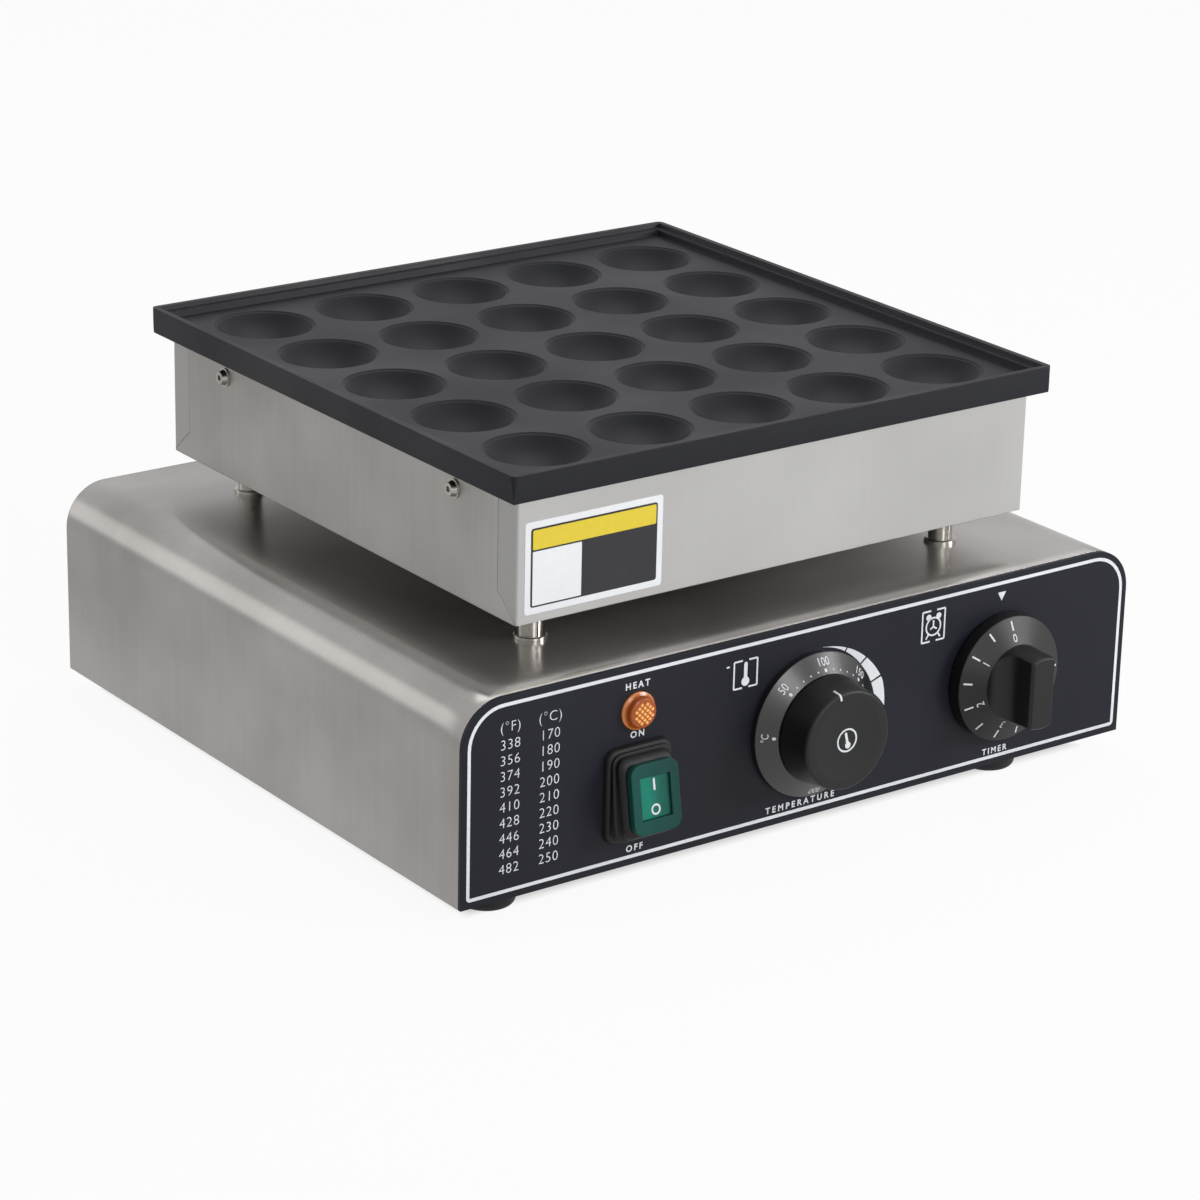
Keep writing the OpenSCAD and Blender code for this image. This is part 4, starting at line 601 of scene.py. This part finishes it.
def crescentEdges(angle):
    # inner and outer radius at an angle from the top, with the clock
    share = (angle - crescent["start"]) / (crescent["end"] - crescent["start"])
    grown = crescent["widest"] * min(1.0, crescent["growth"] * share) ** crescent["bend"]
    wide = max(crescent["least"], grown)
    cut = max(0.0, 1 - (crescent["end"] - angle) / crescent["point"])
    return crescent["inner"] + wide * crescent["tip"] * cut, crescent["inner"] + wide


def heatCrescent():
    bm = bmesh.new()
    stops = [crescent["start"], *crescent["gaps"], crescent["end"]]
    for begin, finish in zip(stops[:-1], stops[1:]):
        begin += crescent["gap"] if begin != crescent["start"] else 0
        count = max(2, round((finish - begin) / crescent["step"]))
        last = None
        for k in range(count + 1):
            angle = begin + (finish - begin) / count * k
            inner, outer = crescentEdges(angle)
            way = turnedWay(-angle).to_3d()
            if last is None:
                last = bm.edges.new([bm.verts.new(way * inner * mm), bm.verts.new(way * outer * mm)])
                continue
            last = growEdge(bm, last)
            near, far = sorted(last.verts, key=lambda v: v.co.length)
            near.co = way * inner * mm
            far.co = way * outer * mm
    thicken(bm, inkLift)
    dial = pivots["temperature_turn"]
    return finishPiece("heatCrescent", bm, screenInk, "casing", onPanel(dial.x, dial.z))


for build in (panelBorder, panelTable, panelCaptions, panelSigns, heatCrescent):
    build()
print("panel print laid")


def drape(bm, heightAt):
    # lets flat print follow a round surface: adds the surface's height at each point's radius
    for vert in bm.verts:
        vert.co.z += heightAt(math.hypot(vert.co.x, vert.co.y) / mm) * mm


def drapeOnSkirt(bm, edge, hub):
    # edge and hub: (radius, height) where the slope starts and ends
    (edgeRadius, edgeHigh), (hubRadius, hubHigh) = edge, hub

    def slope(radius):
        share = min(1, max(0, (edgeRadius - radius) / (edgeRadius - hubRadius)))
        return edgeHigh + (hubHigh - edgeHigh) * share

    drape(bm, slope)


# Scale on the fixed ring round the temperature knob: a dot each 10 degrees of heat, a number each 50.
# It starts with the unit's sign, and the first numbered dot is 50
heatScale = {"zeroTurn": 88.5, "turnPer50": 45.0, "lastTen": 30, "firstTen": 5, "dots": 27.2, "bigDot": 0.75,
             "smallDot": 0.36, "dotSides": 10, "words": 30.4, "size": 4.6, "unitSize": 3.9, "edgeHigh": 3.0,
             "knobGap": 0.6}


def ringScale():
    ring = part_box("dial_ring")
    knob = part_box("temperature_knob")
    bm = bmesh.new()
    for ten in (0, *range(heatScale["firstTen"], heatScale["lastTen"] + 1)):
        turn = heatScale["zeroTurn"] - heatScale["turnPer50"] * ten / 5
        big = ten % 5 == 0
        way = turnedWay(turn)
        dot = way * heatScale["dots"]
        addDot(bm, heatScale["bigDot" if big else "smallDot"], dot.x, dot.y, heatScale["dotSides"])
        if big:
            at = way * heatScale["words"]
            words, size = (str(ten * 10), "size") if ten else ("°C", "unitSize")
            addText(bm, words, heatScale[size], at.x, at.y, turn)
    edge = ((ring[1].x - ring[0].x) / 2 / mm, heatScale["edgeHigh"])
    hub = ((knob[1].x - knob[0].x) / 2 / mm + heatScale["knobGap"], (panelFace - ring[0].y) / mm)
    drapeOnSkirt(bm, edge, hub)
    centre = pivots["temperature_turn"]
    return finishPiece("heatScale", bm, screenInk, "casing", onPanel(centre.x, centre.z))


# Pointer line over the knob's edge, as (radius, height from the face), and the sign in its dished face
knobMarks = {"restTurn": 13.5, "pointerWidth": 1.0, "signRadius": 5.2, "signLine": 0.8, "signFill": 1.5,
             "dish": 1.0, "dishRadius": 18.6,
             "pointer": [(20.4, 0.0), (22.1, 0.0), (22.9, -0.3), (23.4, -1.0), (23.55, -2.0), (23.85, -4.8)]}


def knobPrint():
    out = (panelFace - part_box("temperature_knob")[0].y) / mm
    curve = (knobMarks["dishRadius"] ** 2 + knobMarks["dish"] ** 2) / (2 * knobMarks["dish"])
    bm = bmesh.new()
    addRing(bm, knobMarks["signRadius"], knobMarks["signLine"], 0, 0)
    addThermometer(bm, 0, 0, knobMarks["signRadius"] * knobMarks["signFill"])
    drape(bm, lambda r: out - knobMarks["dish"] + r * r / (2 * curve))
    half = knobMarks["pointerWidth"] / 2 * mm
    strip = bmesh.new()
    last = None
    for radius, drop in knobMarks["pointer"]:
        if last is None:
            ends = [strip.verts.new((side * half, radius * mm, (out + drop) * mm)) for side in (-1, 1)]
            last = strip.edges.new(ends)
            continue
        last = growEdge(strip, last)
        for vert in last.verts:
            vert.co.y = radius * mm
            vert.co.z = (out + drop) * mm
    bmesh.ops.recalc_face_normals(strip, faces=strip.faces[:])
    bmesh.ops.solidify(strip, geom=strip.faces[:], thickness=inkLift * mm)
    bmesh.ops.translate(strip, verts=strip.verts[:], vec=(0, 0, inkLift / 2 * mm))
    mesh = bpy.data.meshes.new("pointer")
    strip.to_mesh(mesh)
    strip.free()
    bm.from_mesh(mesh)
    bpy.data.meshes.remove(mesh)
    centre = pivots["temperature_turn"]
    turn = Matrix.Rotation(math.radians(knobMarks["restTurn"]), 4, "Z")
    return finishPiece("knobMarks", bm, screenInk, "heat_control", onPanel(centre.x, centre.z) @ turn)


# Minutes on the timer's skirt: numbers run against the clock, a tick each half minute.
# Edge and hub are (radius, height) of the skirt's slope
minutes = {"last": 5, "turnPerMinute": 54.0, "zeroTurn": 2.3, "ticks": (24.3, 28.3), "tickWidth": 0.85,
           "words": 20.9, "size": 5.0, "edge": (30.0, 7.3), "hub": (17.75, 12.5)}


def timerScale():
    bm = bmesh.new()
    low, high = minutes["ticks"]
    for half in range(2 * minutes["last"] + 1):
        turn = minutes["zeroTurn"] + minutes["turnPerMinute"] * half / 2
        way = turnedWay(turn)
        tick = way * (low + high) / 2
        addBar(bm, minutes["tickWidth"], high - low, tick.x, tick.y, turn)
        if half % 2 == 0:
            at = way * minutes["words"]
            addText(bm, str(half // 2), minutes["size"], at.x, at.y, turn)
    drapeOnSkirt(bm, minutes["edge"], minutes["hub"])
    centre = pivots["timer_turn"]
    return finishPiece("timerScale", bm, screenInk, "timer_control", onPanel(centre.x, centre.z))


# On and off marks on the rocker, which leans at rest
rockerMarks = {"lean": 9.5, "face": 14.0, "bar": (1.0, 5.3), "barZ": 5.6, "ring": 2.05, "ringLine": 0.85,
               "ringZ": -5.6}


def rockerPrint():
    bm = bmesh.new()
    addBar(bm, *rockerMarks["bar"], 0, rockerMarks["barZ"])
    addRing(bm, rockerMarks["ring"], rockerMarks["ringLine"], 0, rockerMarks["ringZ"])
    pivot = pivots["rocker_switch"]
    out = (panelFace - pivot.y) / mm
    lean = (Matrix.Translation((0, 0, out * mm))
            @ Matrix.Rotation(math.radians(-rockerMarks["lean"]), 4, "X")
            @ Matrix.Translation((0, 0, (rockerMarks["face"] - out) * mm)))
    return finishPiece("rockerMarks", bm, screenInk, "switch_rocker", onPanel(pivot.x, pivot.z) @ lean)


for build in (ringScale, knobPrint, timerScale, rockerPrint):
    build()
print("dial and switch marks laid")

# Rubber boot round the switch, from its foot on the panel to a collar behind the rocker frame:
# (share of the way in from foot to collar, out of the panel) along its folds
boot = {"collar": (22.6, 29.4), "corner": 6.0, "cornerSegments": 6, "smoothing": 2, "lean": 9.5,
        "leanFrom": 2.5, "leanTo": 8.5,
        "profile": [(0.0, 0.0), (0.02, 1.0), (0.06, 2.6), (0.20, 3.3), (0.46, 3.2), (0.56, 3.8),
                    (0.40, 4.6), (0.26, 5.2), (0.30, 5.9), (0.56, 6.1), (0.70, 6.5), (0.66, 7.1),
                    (0.50, 7.7), (0.50, 8.5), (0.56, 9.6), (0.72, 10.9), (1.0, 11.3)]}


def rubberBoot():
    low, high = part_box("switch_boot")
    width, height = (high.x - low.x) / mm, (high.z - low.z) / mm
    inX, inY = (width - boot["collar"][0]) / 2, (height - boot["collar"][1]) / 2
    bm = bmesh.new()
    roundCorners(bm, flatPlate(bm, width, height), boot["corner"], boot["cornerSegments"])
    bmesh.ops.delete(bm, geom=bm.faces[:], context="FACES_ONLY")
    loop = bm.edges[:]
    was = (width, height, 0.0)
    for share, out in boot["profile"][1:]:
        now = (width - 2 * share * inX, height - 2 * share * inY, out)
        grown = bmesh.ops.extrude_edge_only(bm, edges=loop)["geom"]
        loop = [e for e in grown if isinstance(e, bmesh.types.BMEdge)]
        verts = [v for v in grown if isinstance(v, bmesh.types.BMVert)]
        bmesh.ops.scale(bm, vec=(now[0] / was[0], now[1] / was[1], 1), verts=verts)
        bmesh.ops.translate(bm, verts=verts, vec=(0, 0, (now[2] - was[2]) * mm))
        was = now
    pivot = pivots["rocker_switch"]
    hinge = panelFace - pivot.y
    # the folds lean more and more with the rocker, from the foot to the collar
    for vert in bm.verts:
        share = (vert.co.z / mm - boot["leanFrom"]) / (boot["leanTo"] - boot["leanFrom"])
        share = min(1.0, max(0.0, share))
        swing = math.radians(-boot["lean"]) * share * share * (3 - 2 * share)
        y, z = vert.co.y, vert.co.z - hinge
        vert.co.y = y * math.cos(swing) - z * math.sin(swing)
        vert.co.z = y * math.sin(swing) + z * math.cos(swing) + hinge
    bmesh.ops.recalc_face_normals(bm, faces=bm.faces[:])
    for face in bm.faces:
        face.smooth = True
    piece = finishPiece("rubberBoot", bm, rubberBlack, None, onPanel(pivot.x, pivot.z))
    smooth = piece.modifiers.new("round", "SUBSURF")
    smooth.levels = smooth.render_levels = boot["smoothing"]
    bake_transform(piece)
    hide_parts("switch_boot")
    return piece


# Pressed diamonds on the front of the lamp's lens
lensGrid = {"pitch": 2.8, "radius": 6.2, "high": 0.7, "tip": 0.45, "sink": 0.15, "crown": 0.45, "rim": 0.6}


def lampDiamonds():
    centre = middle("lamp_lens")
    out = (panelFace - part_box("lamp_lens")[0].y) / mm
    bm = bmesh.new()
    peak = bm.verts.layers.float.new("point")
    half = lensGrid["pitch"] / 2
    reach = lensGrid["radius"] - half * lensGrid["rim"]
    count = 2 * round(lensGrid["radius"] / lensGrid["pitch"]) + 2
    for i in range(-count, count + 1):
        for j in range(-count, count + 1):
            x, y = i * half, j * half
            away = math.hypot(x, y)
            if (i + j) % 2 or away > reach:
                continue
            crown = lensGrid["crown"] * (away / lensGrid["radius"]) ** 2
            rise = out + lensGrid["high"] / 2 - lensGrid["sink"] - crown
            cone = bmesh.ops.create_cone(bm, cap_ends=True, segments=4, radius1=half * mm,
                                         radius2=lensGrid["tip"] * half * mm, depth=lensGrid["high"] * mm,
                                         matrix=Matrix.Translation((x * mm, y * mm, rise * mm)))
            # the tips are marked for the painted highlight
            for vert in cone["verts"]:
                vert[peak] = 1.0 if vert.co.z > rise * mm else 0.0
    piece = finishPiece("lampDiamonds", bm, lensAmber, "casing", onPanel(centre.x, centre.z))
    return piece


rubberBoot()
lampDiamonds()
print("boot and lens made")

# Bare sticker on the front of the bake box: printed vinyl, flat in colour with a faint shine.
# White with dark lines, an empty yellow band, and an empty field to the left of a dark one
sticker = {"left": -138.3, "right": -65.9, "low": 115.0, "high": 156.5, "corner": 1.5, "cornerSegments": 5,
           "margin": 3.0, "line": 0.8, "lineCorner": 1.2, "band": 8.8, "bandCorner": 0.6, "field": 25.5,
           "fieldCorner": 0.4, "thick": 0.15,
           "paper": ("#eaecf0", "#f0f2f5"), "yellow": ("#e1c830", "#e8d036"), "dark": ("#1f2024", "#26272b")}


def stickerPart(name, left, right, low, high, corner, layer, material):
    bm = bmesh.new()
    roundCorners(bm, flatPlate(bm, right - left, high - low), corner, sticker["cornerSegments"])
    thicken(bm, sticker["thick"])
    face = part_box("bake_box_front")[0].y - layer * sticker["thick"] * mm
    place = (Matrix.Translation(((left + right) / 2 * mm, face, baseFoot + (low + high) / 2 * mm))
             @ Matrix.Rotation(math.pi / 2, 4, "X"))
    return finishPiece(name, bm, material, "casing", place)


def bareSticker():
    vinyl = {}
    for key in ("paper", "yellow", "dark"):
        vinyl[key] = gritty("sticker" + key.capitalize(), *sticker[key], 2, (0.38, 0.46), 0.01, edge=0.02)
    left, right, low, high = (sticker[key] for key in ("left", "right", "low", "high"))
    stickerPart("stickerBase", left, right, low, high, sticker["corner"], 0, vinyl["paper"])
    margin, line = sticker["margin"], sticker["line"]
    left, right, low, high = left + margin, right - margin, low + margin, high - margin
    stickerPart("stickerLines", left, right, low, high, sticker["lineCorner"], 1, vinyl["dark"])
    left, right, low, high = left + line, right - line, low + line, high - line
    bandLow = high - sticker["band"]
    stickerPart("stickerBand", left, right, bandLow, high, sticker["bandCorner"], 2, vinyl["yellow"])
    stickerPart("stickerField", left, left + sticker["field"], low, bandLow - line, sticker["fieldCorner"],
                2, vinyl["paper"])


bareSticker()
print("sticker place finished")

# Pale floor that keeps a soft shadow, a sky that the camera sees as white, and four soft lamps, in metres
studio = {"floor": "#f3f3f1", "floorSize": 8.0, "floorRough": 0.8, "floorSeen": 0.93,
          "floorMirrored": (0.55, 0.95), "mirrorReach": 1.2, "underneath": (0.85, 0.95),
          "skyLight": 0.28, "skyMirrored": 0.75, "aim": (0.0, 0.0, 0.1),
          "key": {"at": (1.5, -1.5, 0.75), "size": 0.6, "power": 21},
          "fill": {"at": (-0.1, -2.0, 0.85), "size": 0.5, "tall": 1.5, "power": 12},
          "back": {"at": (-1.33, 1.44, 0.60), "size": 0.9, "power": 2.7},
          "top": {"at": (0.6, 0.45, 2.15), "size": 1.8, "power": 13.5}}


def rayShare(tree, seen, mirrored):
    # one level for rays straight from the camera, another for mirror images, none for falling light
    path = addNode(tree, "ShaderNodeLightPath")
    straight = addNode(tree, "ShaderNodeMath", operation="MAXIMUM",
                       links={0: path.outputs["Is Camera Ray"], 1: path.outputs["Is Transmission Ray"]})
    level = addNode(tree, "ShaderNodeMath", {1: seen}, {0: straight.outputs["Value"]}, operation="MULTIPLY")
    image = addNode(tree, "ShaderNodeMath", links={0: path.outputs["Is Glossy Ray"]}, operation="MULTIPLY")
    if isinstance(mirrored, float):
        image.inputs[1].default_value = mirrored
    else:
        tree.links.new(mirrored, image.inputs[1])
    return addNode(tree, "ShaderNodeMath", operation="MAXIMUM",
                   links={0: level.outputs["Value"], 1: image.outputs["Value"]}).outputs["Value"]


def studioFloor():
    bm = bmesh.new()
    bmesh.ops.create_grid(bm, x_segments=1, y_segments=1, size=studio["floorSize"] / 2)
    mesh = bpy.data.meshes.new("floor")
    bm.to_mesh(mesh)
    bm.free()
    floor = bpy.data.objects.new("floor", mesh)
    bpy.context.scene.collection.objects.link(floor)
    material, tree, shader, place = startMaterial("paleFloor")
    shader.inputs["Base Color"].default_value = linearColour(studio["floor"])
    shader.inputs["Roughness"].default_value = studio["floorRough"]
    # metal mirrors a floor that is dimmer on the left than on the right
    side = addNode(tree, "ShaderNodeSeparateXYZ", links={"Vector": place}).outputs["X"]
    left, right = studio["floorMirrored"]
    reach = studio["mirrorReach"]
    dim = addNode(tree, "ShaderNodeMapRange",
                  {"From Min": -reach, "From Max": reach, "To Min": left, "To Max": right}, {"Value": side})
    white = addNode(tree, "ShaderNodeEmission",
                    links={"Strength": rayShare(tree, 1.0, dim.outputs["Result"])})
    # plain floor under the machine, where the vents show it in shade
    low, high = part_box("base_shell")
    inset = addNode(tree, "ShaderNodeVectorMath", {1: (low + high) / 2}, {0: place}, operation="SUBTRACT")
    inset = addNode(tree, "ShaderNodeVectorMath", {1: (high - low) / 2}, {0: inset.outputs["Vector"]},
                    operation="DIVIDE")
    inset = addNode(tree, "ShaderNodeVectorMath", links={0: inset.outputs["Vector"]}, operation="ABSOLUTE")
    span = addNode(tree, "ShaderNodeSeparateXYZ", links={"Vector": inset.outputs["Vector"]})
    edge = addNode(tree, "ShaderNodeMath", links={0: span.outputs["X"], 1: span.outputs["Y"]},
                   operation="MAXIMUM")
    inner, outer = studio["underneath"]
    clear = addNode(tree, "ShaderNodeMapRange", {"From Min": inner, "From Max": outer},
                    {"Value": edge.outputs["Value"]})
    share = addNode(tree, "ShaderNodeMath", operation="MULTIPLY",
                    links={0: rayShare(tree, studio["floorSeen"], 1.0), 1: clear.outputs["Result"]})
    mixed = addNode(tree, "ShaderNodeMixShader",
                    links={0: share.outputs["Value"], 1: shader.outputs["BSDF"],
                           2: white.outputs["Emission"]})
    tree.links.new(mixed.outputs["Shader"], tree.nodes["Material Output"].inputs["Surface"])
    mesh.materials.append(material)


def studioSky():
    world = bpy.data.worlds.new("paleSky")
    bpy.context.scene.world = world
    world.use_nodes = True
    tree = world.node_tree
    level = addNode(tree, "ShaderNodeMath", {1: studio["skyLight"]},
                    {0: rayShare(tree, 1.0, studio["skyMirrored"])}, operation="MAXIMUM")
    sky = tree.nodes["Background"]
    sky.inputs["Color"].default_value = (1, 1, 1, 1)
    tree.links.new(level.outputs["Value"], sky.inputs["Strength"])


def softBox(name):
    light = bpy.data.lights.new(name, "AREA")
    light.shape = "RECTANGLE"
    light.size = studio[name]["size"]
    light.size_y = studio[name].get("tall", light.size)
    light.energy = studio[name]["power"]
    lamp = bpy.data.objects.new(name, light)
    bpy.context.scene.collection.objects.link(lamp)
    lamp.location = studio[name]["at"]
    aim = Vector(studio["aim"]) - Vector(studio[name]["at"])
    lamp.rotation_euler = aim.to_track_quat("-Z", "Y").to_euler()


# The picture's own view: place and reach in metres, bearing, dip and tilt in degrees, lens and frame in mm
cameraView = {"at": (-1.0576, -1.4402, 0.7213), "bearing": -36.394, "dip": 20.269, "tilt": 1.287,
              "lens": 120.36, "frame": 36, "reach": 50}


def pictureCamera():
    camera = bpy.data.cameras.new("pictureCamera")
    camera.sensor_width = cameraView["frame"]
    camera.lens = cameraView["lens"]
    camera.clip_end = cameraView["reach"]
    holder = bpy.data.objects.new("pictureCamera", camera)
    bpy.context.scene.collection.objects.link(holder)
    holder.matrix_world = (Matrix.Translation(cameraView["at"])
                           @ Matrix.Rotation(math.radians(cameraView["bearing"]), 4, "Z")
                           @ Matrix.Rotation(math.radians(90 - cameraView["dip"]), 4, "X")
                           @ Matrix.Rotation(math.radians(cameraView["tilt"]), 4, "Z"))
    bpy.context.scene.camera = holder


studioFloor()
studioSky()
for name in ("key", "fill", "back", "top"):
    softBox(name)
pictureCamera()
bpy.context.scene.view_settings.view_transform = "Standard"
print("studio set")
